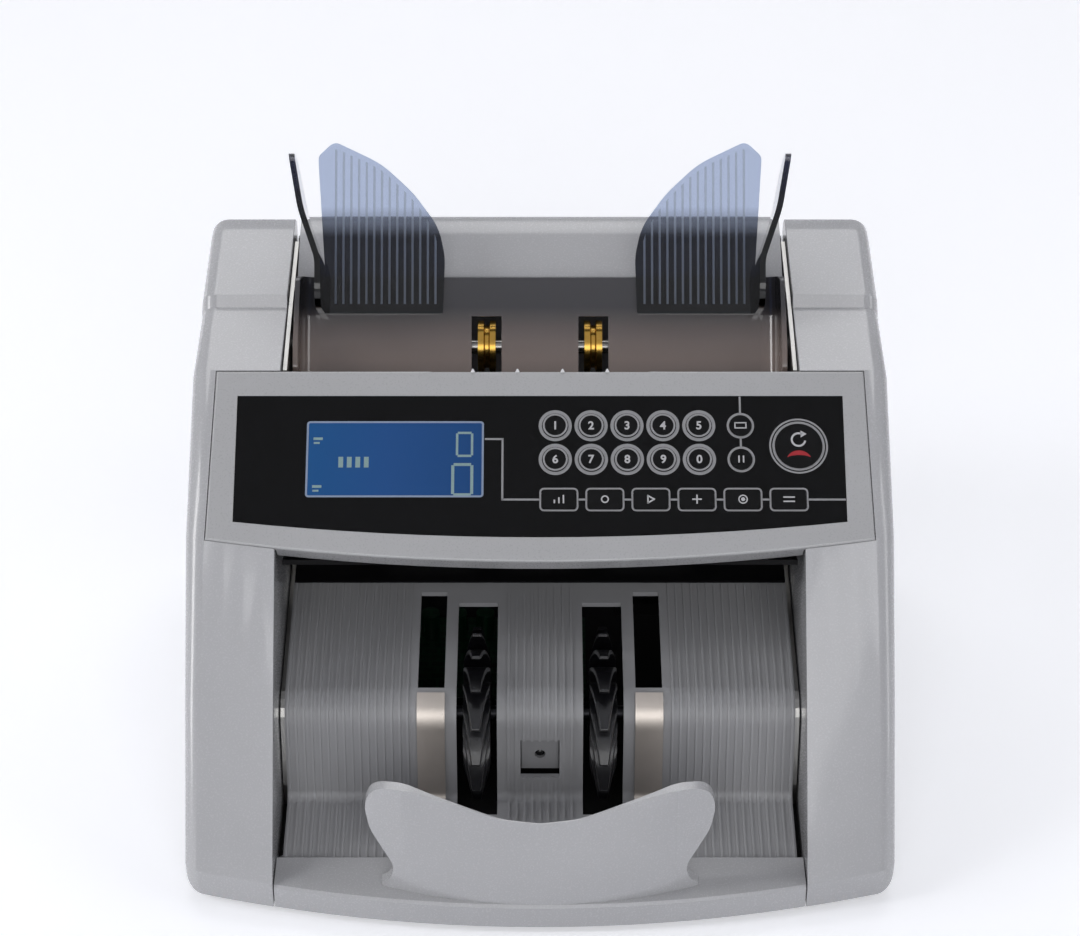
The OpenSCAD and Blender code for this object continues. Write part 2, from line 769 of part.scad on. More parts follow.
module side_frame(light_bores) {
    color("silver") difference() {
        along_x(frame_inner, frame_outer) polygon(frame_outline());
        for (c = [feed_c, transport_c]) shaft_bore(c, shaft_d / 2);
        for (c = [pickup_c, retard_c, stacker_c, pinch_c]) shaft_bore(c, thin_shaft_d / 2);
        shaft_bore([rail_y, rail_z], rail_r);
        if (light_bores) shaft_bore(motor_c, 8.2);
    }
}

module shaft_bore(c, r) {
    bar_x(c, frame_inner - 1, frame_outer + 1, r + run_gap);
}

module side_frame_left() { mirror([1, 0, 0]) side_frame(true); }
module side_frame_right() { side_frame(false); }

// The slots for the wheels, and those over the steel strips
module plate_slots() {
    mirrored() {
        translate([wheel_x - wheel_slot_w / 2, wall_y - 9, base_top])
            cube([wheel_slot_w, 72, 100]);
        translate([strip_x - strip_w / 2 + 0.2, wall_y + 17, base_top + 30])
            cube([strip_w - 0.4, 52, 60]);
    }
}

module ribbed_plate() {
    rib_half = 0.5;
    side_ribs = floor((inner_half - strip_x - strip_w / 2 - 3) / rib_pitch);
    middle_ribs = floor((wheel_x - wheel_slot_w / 2 - 1.5) / rib_pitch);
    rib_xs = concat([for (i = [-middle_ribs:middle_ribs]) i * rib_pitch],
        [for (s = [-1, 1]) for (i = [0:side_ribs]) s * (inner_half - 1.2 - i * rib_pitch)]);
    color("gray") difference() {
        union() {
            along_x(-inner_half, inner_half) polygon(band(ribbed_path, 0, plate_t));
            for (x = rib_xs)
                along_x(x - rib_half, x + rib_half)
                    polygon(band(ribbed_path, -rib_h, eps * 10));
        }
        plate_slots();
        sensor_recess();
    }
}

module sensor_recess() {
    translate([-7.9, wall_y - 10, sensor_z - 8]) cube([15.8, 30, 17]);
}

module note_sensor() {
    body_y = wall_y + 6.5;
    color("dimgray") difference() {
        union() {
            translate([-7.5, body_y, sensor_z - 7.6]) cube([15, 3, 16.2]);
            translate([-10, body_y + 3, sensor_z - 10]) cube([20, 4, 21]);
        }
        bar_y([0, sensor_z], body_y - 1, body_y + 2, 2.2);
    }
}

module steel_strips() {
    strip_path = concat([roof_corner + unit(ribbed_path[0] - roof_corner) * 7.1 + [0, 0.1]],
        [for (q = moved_path(ribbed_path, -rib_h - 0.1)) if (q[0] < wall_y + 12) q]);
    color("silver") for (s = [-1, 1])
        along_x(s * strip_x - strip_w / 2, s * strip_x + strip_w / 2)
            polygon(band([for (q = strip_path) if (q[0] > front_y + rim_d + 0.6) q], -0.8, 0));
}

module front_guide() {
    under = [[lip_y + 8.2, lip_z - 7.6], [pinch_c[0] - 18, pinch_c[1] - 3],
        [pinch_c[0] - 11.5, pinch_c[1] + 3], [retard_c[0] - 14.5, retard_c[1] + 12],
        [panel_rear_y + 1.6, panel_rear_z - 5]];
    entry = [[panel_rear_y + 1.2, panel_rear_z - 5], [retard_c[0] + 7, retard_c[1] + 12.5]];
    color([0.13, 0.13, 0.14]) difference() {
        along_x(-inner_half, inner_half) union() {
            polygon(band(under, 0, 2));
            polygon(band(entry, 0, 2));
        }
        for (x = roller_xs)
            translate([x - 8, retard_c[0] - 3, retard_c[1] - 20]) cube([16, 30, 34]);
    }
}

// ---- Stacker ----

// Half of the leaf-shaped outline of the front stack plate, as [x, z]
function stack_half() =
    let (h = stack_plate_half, t = rim_z + stack_plate_h)
    [[0, rim_z], [h - 3.2, rim_z], [h - 8.6, rim_z + 5], [h - 10.2, rim_z + 12],
     [h - 1, t - 23], [h + 0.9, t - 11.5], [h - 2.5, t - 1.5], [h - 14.5, t + 1],
     [h - 36, t - 5.5], [h - 52, t - 11], [0, t - 12.7]];

module stack_plate() {
    plate_r = 180;
    thick = 4.2;
    bevel_tilt = 18;
    half_outline = fillet_loop(stack_half(), [0, 1, 8, 8, 20, 16, 9, 16, 40, 30, 0], 6);
    color("gainsboro") {
        difference() {
            intersection() {
                translate([0, front_y + 40, 0]) rotate([90, 0, 0]) linear_extrude(60) mirrored()
                    polygon(half_outline);
                translate([0, front_y + 1 + plate_r, 0]) difference() {
                    cylinder(h = 200, r = plate_r, $fn = fine_fn);
                    translate([0, 0, -1]) cylinder(h = 202, r = plate_r - thick, $fn = fine_fn);
                }
            }
            // the front leans back towards its top edge
            translate([-half_w, front_y + 1, rim_z + stack_plate_h - 23.6]) rotate([-bevel_tilt, 0, 0])
                translate([0, -30, 0]) cube([body_w, 30, 60]);
        }
        mirrored() stack_plate_tab(0);
    }
}

// The snap tab that stands in a slot of the tray rim
module stack_plate_tab(grow) {
    translate([24 - grow, front_y + 4.6 - grow, rim_z - 2 - grow])
        cube([12 + 2 * grow, 2 + 2 * grow, 2 + eps + 4 * grow]);
}

module stacker_wheel() {
    bore = thin_shaft_d / 2;
    translate([0, stacker_c[0], stacker_c[1]]) rotate([0, 90, 0]) difference() {
        union() {
            cylinder(h = wheel_w, r = 13, center = true);
            intersection() {
                linear_extrude(wheel_w, center = true)
                    for (i = [0:vane_count - 1]) rotate(360 * i / vane_count) vane_shape();
                // the vanes narrow towards their tips
                rotate_extrude($fn = 96)
                    polygon([[0, -wheel_w / 2 - 1], [wheel_r - 17, -wheel_w / 2 - 1],
                        [wheel_r, -1.6], [wheel_r, 1.6], [wheel_r - 17, wheel_w / 2 + 1],
                        [0, wheel_w / 2 + 1]]);
            }
        }
        cylinder(h = wheel_w + 2, r = bore, center = true);
    }
}

// A blade that leaves the hub and sweeps back to the rim
module vane_shape() {
    path = [for (i = [0:8]) let (r = 11.5 + (wheel_r - 11.8) * i / 8, a = 62 * pow(i / 8, 1.25))
        [r * cos(a), r * sin(a)]];
    polygon(band(path, -0.8, 0.8));
}

module stacker_wheel_left() { color([0.1, 0.1, 0.11]) translate([-wheel_x, 0, 0]) stacker_wheel(); }
module stacker_wheel_right() { color([0.1, 0.1, 0.11]) translate([wheel_x, 0, 0]) stacker_wheel(); }

// ---- Drive ----

// A shaft across both frames, with collars that keep it in place
module cross_shaft(c, r) {
    bar_x(c, -frame_outer - 1.2, frame_outer + 1.2, r);
    mirrored() bar_x(c, frame_outer + 0.3, frame_outer + 1.2, r + 1.2);
}

// A flanged belt pulley at the lane x
module pulley(c, x, r) {
    bar_x(c, x - 0.8, x, r + 1.6);
    bar_x(c, x - eps, x + belt_w + 0.6 + eps, r);
    bar_x(c, x + belt_w + 0.6, x + belt_w + 1.4, r + 1.6);
}

module pickup_shaft() {
    r = thin_shaft_d / 2;
    color("silver") {
        cross_shaft(pickup_c, r);
        bar_x(pickup_c, frame_outer, lane_2, r);
        pulley(pickup_c, lane_2, pickup_pulley_r);
    }
}

// Brass hubs with a groove, seen through the slots of the hopper cover
module pickup_hubs() {
    color("goldenrod") for (x = roller_xs)
        translate([x, pickup_c[0], pickup_c[1]]) rotate([0, 90, 0]) rotate_extrude()
            polygon([[thin_shaft_d / 2, -3.7], [pickup_r, -3.7], [pickup_r, -1.3],
                [pickup_r - 2, -0.7], [pickup_r - 2, 0.7], [pickup_r, 1.3], [pickup_r, 3.7],
                [thin_shaft_d / 2, 3.7]]);
}

module feed_shaft() {
    r = shaft_d / 2;
    color("silver") {
        cross_shaft(feed_c, r);
        bar_x(feed_c, frame_outer, lane_2, r);
        pulley(feed_c, lane_1, feed_pulley_r);
        pulley(feed_c, lane_2, feed_out_pulley_r);
    }
}

module roller_set(c, xs, w, r, bore) {
    for (x = xs) difference() {
        bar_x(c, x - w / 2, x + w / 2, r);
        bar_x(c, x - w, x + w, bore);
    }
}

module feed_rollers() {
    color([0.2, 0.2, 0.2]) roller_set(feed_c, roller_xs, 14, feed_r, shaft_d / 2);
}

module retard_shaft() {
    color("silver") bar_x(retard_c, -frame_outer, frame_outer, thin_shaft_d / 2);
}

module retard_rollers() {
    color([0.2, 0.2, 0.2]) roller_set(retard_c, roller_xs, 12, retard_r, thin_shaft_d / 2);
}

module transport_shaft() {
    r = shaft_d / 2;
    color("silver") {
        cross_shaft(transport_c, r);
        bar_x(transport_c, frame_outer, lane_2, r);
        pulley(transport_c, lane_1, transport_feed_r);
        pulley(transport_c, lane_2, transport_out_r);
        mirror([1, 0, 0]) {
            bar_x(transport_c, frame_outer, lane_1, r);
            pulley(transport_c, lane_1, transport_in_r);
        }
    }
}

module transport_rollers() {
    color([0.2, 0.2, 0.2])
        roller_set(transport_c, [-72, -24, 24, 72], 12, transport_r, shaft_d / 2);
}

module pinch_rollers() {
    color("silver") {
        cross_shaft(pinch_c, thin_shaft_d / 2);
        for (x = [-72, -24, 24, 72]) bar_x(pinch_c, x - 5, x + 5, pinch_r);
    }
}

module stacker_shaft() {
    r = thin_shaft_d / 2;
    color("silver") {
        cross_shaft(stacker_c, r);
        bar_x(stacker_c, frame_outer, lane_2, r);
        pulley(stacker_c, lane_2, stacker_pulley_r);
    }
}

module drive_motor() {
    x0 = -frame_inner;
    color("dimgray") difference() {
        union() {
            bar_x(motor_c, x0 + 0.1, x0 + 3, motor_d / 2 + 3);
            bar_x(motor_c, x0 + 2.9, x0 + 58, motor_d / 2);
            bar_x(motor_c, x0 - frame_t - 0.5, x0 + 0.2, 8);
            bar_x(motor_c, x0 + 57.9, x0 + 63, 7);
            // the foot that stands on the base
            translate([x0 + 10, motor_c[0] - 12, base_top])
                cube([40, 24, motor_c[1] - base_top - motor_d / 2 + 3]);
        }
        bar_x(motor_c, x0 - 10, x0 + 8, 2.5 + run_gap);
    }
}

module motor_pulley() {
    color("silver") mirror([1, 0, 0]) {
        bar_x(motor_c, frame_inner - 7, lane_1, 2.5);
        pulley(motor_c, lane_1, motor_pulley_r);
    }
}

// The outline round two pulleys: two arcs joined by their common tangents
function belt_outline(c0, r0, c1, r1, n = 12) =
    let (v = c1 - c0, a = atan2(v[1], v[0]), b = acos((r0 - r1) / norm(v)))
    concat(arc(c0, r0, a + b, a + 360 - b, n), arc(c1, r1, a - b, a + b, n));

module belt(x, c0, r0, c1, r1) {
    along_x(x, x + belt_w) difference() {
        polygon(belt_outline(c0, r0 + belt_gap + belt_t, c1, r1 + belt_gap + belt_t));
        polygon(belt_outline(c0, r0 + belt_gap, c1, r1 + belt_gap));
    }
}

module drive_belts() {
    play = 0.3;
    color([0.15, 0.15, 0.15]) {
        mirror([1, 0, 0])
            belt(lane_1 + play, motor_c, motor_pulley_r, transport_c, transport_in_r);
        belt(lane_1 + play, transport_c, transport_feed_r, feed_c, feed_pulley_r);
        belt(lane_2 + play, feed_c, feed_out_pulley_r, pickup_c, pickup_pulley_r);
        belt(lane_2 + play, transport_c, transport_out_r, stacker_c, stacker_pulley_r);
    }
}

// ---- Electrics ----

module main_board() {
    z = base_top + 4;
    color("darkgreen") {
        translate([-60, board_y0, z]) cube([board_w, board_d, board_t]);
        translate([-52, board_y0 + 8, z + board_t]) cube([16, 16, 2.5]);
        translate([-24, board_y0 + 10, z + board_t]) cube([12, 20, 5]);
        for (i = [0:3]) translate([-48 + 12 * i, board_y0 + 44, z + board_t])
            cylinder(h = 12, r = 4);
    }
}

module transformer() {
    x0 = 34;
    y0 = rear_y - 62;
    color("dimgray") {
        translate([x0, y0, base_top]) cube([46, 40, 6]);
        translate([x0 + 4, y0 + 4, base_top + 6 - eps]) cube([38, 32, 30]);
        translate([x0 + 9, y0, base_top + 10]) cube([28, 40, 22]);
    }
}

module ac_inlet() {
    color([0.12, 0.12, 0.12]) difference() {
        union() {
            translate([inlet_x - 13.5, rear_y - 22, inlet_z - 9.7]) cube([27, 22, 19.4]);
            translate([inlet_x - 17, rear_y - wall - 2.2, inlet_z - 12]) cube([34, 2, 24]);
        }
        translate([inlet_x - 10.8, rear_y - 16, inlet_z - 7]) cube([21.6, 20, 14]);
    }
    color("silver") for (p = [[-6, 0], [6, 0], [0, 2.6]])
        translate([inlet_x + p[0] - 1, rear_y - 17, inlet_z + p[1] - 2]) cube([2, 13, 4]);
}

// The rocker's face is a shallow V, and it turns on the pins of its well.
module power_switch() {
    profile = concat(arc([0, 0], rocker_r, 50, 114), arc([0, 0], rocker_r, 246, 310), [[2.9, 0]]);
    color([0.12, 0.12, 0.12]) difference() {
        along_x(switch_x - rocker_w / 2, switch_x + rocker_w / 2)
            translate(rocker_c) rotate(-rocker_swing / 2) polygon(profile);
        bar_x(rocker_c, switch_x - rocker_w, switch_x + rocker_w, rocker_pin_r + run_gap);
    }
}

module cover_screws() {
    half = pocket_x - 0.4;
    color("silver") {
        for (x = [-1, 1]) for (z = [foot_h + 7, body_h - 23]) {
            bar_y([x * (half - 9), z], rear_y - 8, rear_y, 1.5);
        }
    }
}

base_chassis();
rubber_feet();
side_cover_left();
side_cover_right();
top_cover();
rear_panel();
control_panel_bezel();
front_guide();
stack_plate();
panel_overlay();
lcd_module();
keypad_board();
digit_key(0);  // key_1
digit_key(1);  // key_2
digit_key(2);  // key_3
digit_key(3);  // key_4
digit_key(4);  // key_5
digit_key(5);  // key_6
digit_key(6);  // key_7
digit_key(7);  // key_8
digit_key(8);  // key_9
digit_key(9);  // key_0
small_key(0);  // key_small_upper
small_key(1);  // key_small_lower
large_key();  // key_large
function_key(0);  // key_function_1
function_key(1);  // key_function_2
function_key(2);  // key_function_3
function_key(3);  // key_function_4
function_key(4);  // key_function_5
function_key(5);  // key_function_6
hopper_cover();
guide_left();
guide_right();
guide_rail();
side_frame_left();
side_frame_right();
ribbed_plate();
steel_strips();
note_sensor();
pickup_shaft();
pickup_hubs();
feed_shaft();
feed_rollers();
retard_shaft();
retard_rollers();
transport_shaft();
transport_rollers();
pinch_rollers();
stacker_shaft();
stacker_wheel_left();
stacker_wheel_right();
drive_motor();
motor_pulley();
drive_belts();
main_board();
transformer();
ac_inlet();
power_switch();
cover_screws();
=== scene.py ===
"""Banknote counting machine: finishes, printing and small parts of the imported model."""

import json
from math import atan2, cos, radians, sin

import bmesh
import bpy
from bpy.props import (
    FloatProperty,
    FloatVectorProperty,
    IntProperty,
    PointerProperty,
)
from bpy.types import Operator, Panel, PropertyGroup
from mathutils import Matrix, Vector


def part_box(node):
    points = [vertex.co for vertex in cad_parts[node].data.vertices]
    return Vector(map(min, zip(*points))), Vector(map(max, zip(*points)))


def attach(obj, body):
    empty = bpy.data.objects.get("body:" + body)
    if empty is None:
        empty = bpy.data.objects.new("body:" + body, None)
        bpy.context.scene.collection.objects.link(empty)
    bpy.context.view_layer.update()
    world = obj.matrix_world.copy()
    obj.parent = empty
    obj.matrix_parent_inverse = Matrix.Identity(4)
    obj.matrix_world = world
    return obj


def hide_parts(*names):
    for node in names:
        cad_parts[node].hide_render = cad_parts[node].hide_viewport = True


bl_info = {
    "name": "Banknote Counter",
    "version": (1, 0, 0),
    "blender": (4, 5, 0),
    "location": "View3D > Sidebar > Counter",
    "description": "Finishes, prints and small parts of a desktop banknote counter",
    "category": "Object",
}

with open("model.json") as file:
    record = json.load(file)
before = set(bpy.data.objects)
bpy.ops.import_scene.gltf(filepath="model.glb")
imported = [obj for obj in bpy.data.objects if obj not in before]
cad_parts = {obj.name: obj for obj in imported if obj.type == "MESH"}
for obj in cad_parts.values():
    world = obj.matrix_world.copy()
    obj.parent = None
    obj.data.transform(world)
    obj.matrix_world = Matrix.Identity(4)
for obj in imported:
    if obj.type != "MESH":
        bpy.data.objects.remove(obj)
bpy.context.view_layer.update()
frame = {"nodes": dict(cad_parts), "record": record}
NODES = frame["nodes"]
BODY_OF = {n: b for b, ns in frame["record"]["behaviour"]["bodies"].items() for n in ns}

MM = 0.001
PANEL_TILT = radians(35)
PANEL_ORIGIN = Vector((0, -40.615, 115.425)) * MM
PANEL_TURN = Matrix.Rotation(PANEL_TILT, 4, "X")
RAIL = Vector((0, 82, 166.2)) * MM
HOPPER_TILT = radians(52)
# Slope of the ribbed plate's roof, and a point on it, in millimetres
ROOF_SLOPE = atan2(70.5 - 59.226, 20 + 49.379)
ROOF_REAR = Vector((0, 13.0, 69.37))

# Corners nearer than this are one
SEAM = 0.002 * MM
# Edges of a CAD mesh flatter than this are facets of one face
FLAT = radians(0.4)
# Edges that turn more than this get the fine rounding
SHARP = radians(32)
# Edges that turn outwards more than this may get the larger rounding
BROW = radians(50)
# Heights above the panel's plane of the ink on the overlay and on the key caps
INK_OVERLAY = 0.03 * MM
INK_CAPS = 0.46 * MM


# ---- Colours and nodes ----


def hex_linear(text):
    """An sRGB colour such as '#b4b4b6' as linear numbers, with full alpha."""
    parts = [int(text[i : i + 2], 16) / 255 for i in (1, 3, 5)]
    linear = [c / 12.92 if c <= 0.04045 else ((c + 0.055) / 1.055) ** 2.4 for c in parts]
    return (*linear, 1.0)


def add_node(tree, kind, settings=None, links=None):
    """Adds a node. Settings go to its own fields or, by socket name, to its inputs, and links
    join an input to a socket."""
    node = tree.nodes.new(kind)
    for key, value in (settings or {}).items():
        if isinstance(key, int) or key in node.inputs:
            node.inputs[key].default_value = value
        else:
            setattr(node, key, value)
    for key, socket in (links or {}).items():
        tree.links.new(socket, node.inputs[key])
    return node


def new_material(name):
    material = bpy.data.materials.new(name)
    material.use_nodes = True
    material.node_tree.nodes.clear()
    return material, material.node_tree


def finish_material(tree, settings, links, inside=None):
    shader = add_node(tree, "ShaderNodeBsdfPrincipled", settings, links)
    ends = {"Surface": shader.outputs[0]}
    if inside:
        ends["Volume"] = inside.outputs[0]
    add_node(tree, "ShaderNodeOutputMaterial", None, ends)
    return shader


def stops(tree, factor, colours):
    """A colour ramp through (place, colour) pairs."""
    ramp = add_node(tree, "ShaderNodeValToRGB", None, {"Fac": factor})
    band = ramp.color_ramp
    while len(band.elements) < len(colours):
        band.elements.new(1.0)
    for element, (place, colour) in zip(band.elements, colours):
        element.position = place
        element.color = colour
    return ramp.outputs["Color"]


def shade(colour, factor):
    return tuple([c * factor for c in colour[:3]]) + (colour[3],)


def grain(tree, size, detail=2.0, stretch=(1, 1, 1)):
    """A noise in the model's own space with blobs about size metres across."""
    coords = add_node(tree, "ShaderNodeTexCoord")
    mapping = add_node(
        tree, "ShaderNodeMapping", {"Scale": stretch}, {"Vector": coords.outputs["Object"]}
    )
    return add_node(
        tree,
        "ShaderNodeTexNoise",
        {"Scale": 1 / size, "Detail": detail},
        {"Vector": mapping.outputs[0]},
    ).outputs["Fac"]


def bump(tree, height, depth):
    return add_node(
        tree, "ShaderNodeBump", {"Strength": 1.0, "Distance": depth}, {"Height": height}
    ).outputs["Normal"]


def spread(tree, factor, low, high):
    """A number between low and high that follows a factor from 0 to 1."""
    return add_node(
        tree, "ShaderNodeMapRange", {"To Min": low, "To Max": high}, {"Value": factor}
    ).outputs[0]


def moulded_plastic(
    name, colour, roughness, grain_mm=0.7, grain_depth=0.001, ior=1.53, coat=0.0, gloss=0.5
):
    """Injection moulded plastic: an even colour with a faint cloud from the melt, and the fine
    eroded grain of the tool."""
    material, tree = new_material(name)
    cloud = grain(tree, 0.045)
    fine = grain(tree, grain_mm * MM, 1.0)
    finish_material(
        tree,
        {"IOR": ior, "Specular IOR Level": gloss, "Coat Weight": coat, "Coat Roughness": 0.07},
        {
            "Base Color": stops(tree, cloud, [(0.3, shade(colour, 0.965)), (0.7, colour)]),
            "Roughness": spread(tree, fine, roughness - 0.04, roughness + 0.05),
            "Normal": bump(tree, fine, grain_depth * MM),
        },
    )
    return material


def brushed_metal(name, colour, roughness, line_mm, along, depth=0.004):
    """Metal with the fine parallel scratches of a belt or of rolling, along one axis."""
    material, tree = new_material(name)
    stretch = [1.0, 1.0, 1.0]
    stretch["XYZ".index(along)] = 0.02
    lines = grain(tree, line_mm * MM, 3.0, stretch)
    cloud = grain(tree, 0.02)
    finish_material(
        tree,
        {"Metallic": 1.0},
        {
            "Base Color": stops(tree, cloud, [(0.3, shade(colour, 0.85)), (0.7, colour)]),
            "Roughness": spread(tree, lines, roughness - 0.06, roughness + 0.1),
            "Normal": bump(tree, lines, depth * MM),
        },
    )
    return material


def rubber(name, colour):
    """Moulded rubber: a dull, slightly dusty black."""
    material, tree = new_material(name)
    dust = grain(tree, 0.0012, 4.0)
    finish_material(
        tree,
        {"IOR": 1.52, "Roughness": 0.72},
        {
            "Base Color": stops(tree, dust, [(0.35, colour), (0.75, shade(colour, 2.2))]),
            "Normal": bump(tree, dust, 0.00002),
        },
    )
    return material


def tinted_clear(name, colour, roughness, ior, transmission):
    """Dyed clear plastic that one looks through."""
    material, tree = new_material(name)
    film = grain(tree, 0.03)
    finish_material(
        tree,
        {"IOR": ior, "Transmission Weight": transmission},
        {
            "Base Color": stops(tree, film, [(0.3, shade(colour, 0.92)), (0.7, colour)]),
            "Roughness": spread(tree, film, roughness, roughness + 0.06),
        },
    )
    return material


def up_the_hopper(tree, start, end):
    """0 to 1 between two distances up the hopper's slope, in millimetres from the hinge."""
    coords = add_node(tree, "ShaderNodeTexCoord")
    slope = (0, cos(HOPPER_TILT), sin(HOPPER_TILT))
    place = add_node(
        tree, "ShaderNodeVectorMath", {"operation": "DOT_PRODUCT", 1: slope},
        {0: coords.outputs["Object"]},
    )
    foot = RAIL.dot(Vector(slope))
    return add_node(
        tree, "ShaderNodeMapRange",
        {"From Min": foot + start * MM, "From Max": foot + end * MM},
        {"Value": place.outputs["Value"]},
    ).outputs[0]


def smoked_sheet(name, low, high, roughness, transmission):
    """Smoked polycarbonate, pressed and polished: dark and half opaque, with a warm, lighter
    painted reflection towards its foot.
    """
    material, tree = new_material(name)
    finish_material(
        tree,
        {"IOR": 1.58, "Transmission Weight": transmission, "Roughness": roughness},
        # Painted reflection: the warm, lighter colour at the foot fades into the smoked tint up
        # the slope
        {"Base Color": stops(tree, up_the_hopper(tree, -30, -8), [(0.0, low), (1.0, high)])},
    )
    return material


def graded_acrylic(name, clear, shaded_foot, start, end):
    """Dyed acrylic: clear through its thickness, near black edge on, and darker towards its
    foot with painted shade, between two distances in millimetres from the hinge."""
    material, tree = new_material(name)
    depth = up_the_hopper(tree, start, end)
    dye = add_node(
        tree, "ShaderNodeVolumeAbsorption", {"Color": hex_linear("#8ea6ca"), "Density": 400}
    )
    finish_material(
        tree,
        {"IOR": 1.49, "Transmission Weight": 1.0, "Roughness": 0.04},
        # Painted shade: dark at the foot, where the guides stand in shade, clear at the tips
        {"Base Color": stops(tree, depth, [(0.0, shaded_foot), (1.0, clear)])},
        dye,
    )
    return material


def printed_ink(name, colour, roughness=0.45):
    """Screen printed ink: opaque, with a hint of the mesh it was pressed through."""
    material, tree = new_material(name)
    mesh_marks = grain(tree, 0.0004, 1.0)
    finish_material(
        tree,
        {"IOR": 1.5, "Roughness": roughness},
        {"Base Color": stops(tree, mesh_marks, [(0.3, shade(colour, 0.9)), (0.7, colour)])},
    )
    return material


def solder_mask(name, colour):
    """Green solder mask, a little lighter where it covers copper traces."""
    material, tree = new_material(name)
    coords = add_node(tree, "ShaderNodeTexCoord")
    bricks = add_node(
        tree,
        "ShaderNodeTexBrick",
        {
            "Color1": colour,
            "Color2": shade(colour, 1.5),
            "Mortar": shade(colour, 2.6),
            "Scale": 1 / 0.02,
            "Mortar Size": 0.03,
            "Brick Width": 0.34,
            "Row Height": 0.2,
        },
        {"Vector": coords.outputs["Object"]},
    )
    finish_material(
        tree,
        {"IOR": 1.5, "Roughness": 0.3},
        {"Base Color": bricks.outputs["Color"]},
    )
    return material


def backlit_display(name, left, right, glow):
    """A blue backlit display: the lamp sits at its left end, so that end is brighter."""
    material, tree = new_material(name)
    coords = add_node(tree, "ShaderNodeTexCoord")
    axes = add_node(
        tree, "ShaderNodeSeparateXYZ", None, {"Vector": coords.outputs["Object"]}
    )
    lo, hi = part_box("lcd_module")
    place = add_node(
        tree,
        "ShaderNodeMapRange",
        {"From Min": lo.x + 4 * MM, "From Max": hi.x - 4 * MM},
        {"Value": axes.outputs["X"]},
    )
    ends = [(0.0, left), (0.45, shade(right, 1.25)), (1.0, right)]
    colour = stops(tree, place.outputs[0], ends)
    finish_material(
        tree,
        {"IOR": 1.5, "Specular IOR Level": 0.15, "Roughness": 0.12, "Emission Strength": glow},
        {"Base Color": colour, "Emission Color": colour},
    )
    return material


# ---- Sizes and colours that a user would change ----


def colour_prop(name, description, text):
    return FloatVectorProperty(
        name=name, description=description, subtype="COLOR", size=4, min=0, max=1,
        default=hex_linear(text),
    )


def length_prop(name, description, millimetres):
    return FloatProperty(
        name=name, description=description, subtype="DISTANCE", unit="LENGTH",
        default=millimetres * MM, min=0, precision=5,
    )


class CounterColours(PropertyGroup):
    cover: colour_prop("Covers", "Light grey of the moulded covers", "#b9b9bb")
    bezel: colour_prop("Panel housing", "Grey of the panel housing", "#b5b5b6")
    plate: colour_prop("Ribbed plate", "Grey of the ribbed stacker plate", "#a5a5a7")
    guide_black: colour_prop("Front guide", "Black of the guide under the panel", "#08080a")
    overlay: colour_prop("Overlay", "Black of the glossy overlay", "#0b0b0c")
    print_grey: colour_prop("Printing", "Silver grey of the rings and lines", "#9a9a9c")
    digit_white: colour_prop("Digits", "Off-white of the digits", "#c4c4c6")
    mark_red: colour_prop("Red mark", "Red of the mark on the large key", "#a8242c")
    display_left: colour_prop("Display, lamp end", "Blue at the lit end", "#18426f")
    display_right: colour_prop("Display, far end", "Blue at the far end", "#183863")
    segment: colour_prop("Segments", "Grey-green of the lit segments", "#8fa9a8")
    smoke: colour_prop("Hopper cover", "Smoked tint of the cover at its hinge", "#4c4b4f")
    # The foot colour is a painted warm reflection on the cover, not a tint of the sheet
    smoke_painted_reflection: colour_prop("Hopper cover, foot", "Warmer tint of its foot", "#a08f87")
    guide_clear: colour_prop("Note guides", "Tint of the note guides at their tips", "#e9eef6")
    # The foot colour is painted shade, not a deeper dye
    guide_painted_shade: colour_prop("Note guides, foot", "Deeper dye at their foot", "#1f273b")
    # Partly painted highlight: the rib tops are lighter than the dark foot of the guides
    guide_rib_highlight: colour_prop("Guide ribs", "Frosted tops of the guides' ribs", "#7f8ba1")
    steel: colour_prop("Steel", "Ground steel of shafts", "#a9a8a5")
    strip: colour_prop("Strips", "Warm satin steel of the strips", "#c2bab2")
    brass: colour_prop("Brass", "Turned brass of the hubs", "#c39a4a")
    rubber_black: colour_prop("Rubber", "Black rubber", "#161616")
    wheel: colour_prop("Stacker wheels", "Black of the vaned wheels", "#101013")
    floor: colour_prop("Floor", "Pale floor", "#f2f3f8")


class CounterSizes(PropertyGroup):
    edge: length_prop("Cover edges", "Rounding of the covers' inner edges", 0.3)
    brow: length_prop("Outer edges", "Rounding of the edges that stand out", 1.1)
    fine_edge: length_prop("Fine edges", "Rounding of small parts' edges", 0.2)
    ink: length_prop("Ink", "Thickness of the printed ink", 0.05)
    line: length_prop("Printed lines", "Width of the printed lines", 0.8)
    digit: length_prop("Digits", "Height of the digits", 3.5)
    digit_ring: length_prop("Digit rings", "Outer radius of the rings round the digits", 6.65)
    small_ring: length_prop("Small rings", "Outer radius of the two small rings", 5.5)
    large_ring: length_prop("Large ring", "Outer radius of the large double ring", 11.75)
    lens: FloatProperty(
        name="Lens", description="Focal length on a 36 mm wide sensor", default=93.0, min=10,
        max=400, subtype="DISTANCE_CAMERA",
    )
    ring_steps: IntProperty(
        name="Ring steps", description="Sides of each printed ring", default=64, min=24, max=128
    )


class CounterSettings(PropertyGroup):
    colours: PointerProperty(type=CounterColours)
    sizes: PointerProperty(type=CounterSizes)


def colours():
    return bpy.context.scene.counter.colours


def sizes():
    return bpy.context.scene.counter.sizes


# ---- Shared modelling steps ----


def pick(*objects):
    """Leaves only these objects selected, the first one active."""
    if bpy.context.mode != "OBJECT":
        bpy.ops.object.mode_set(mode="OBJECT")
    bpy.ops.object.select_all(action="DESELECT")
    for obj in objects:
        obj.select_set(True)
    bpy.context.view_layer.objects.active = objects[0] if objects else None
    return objects[0] if objects else None


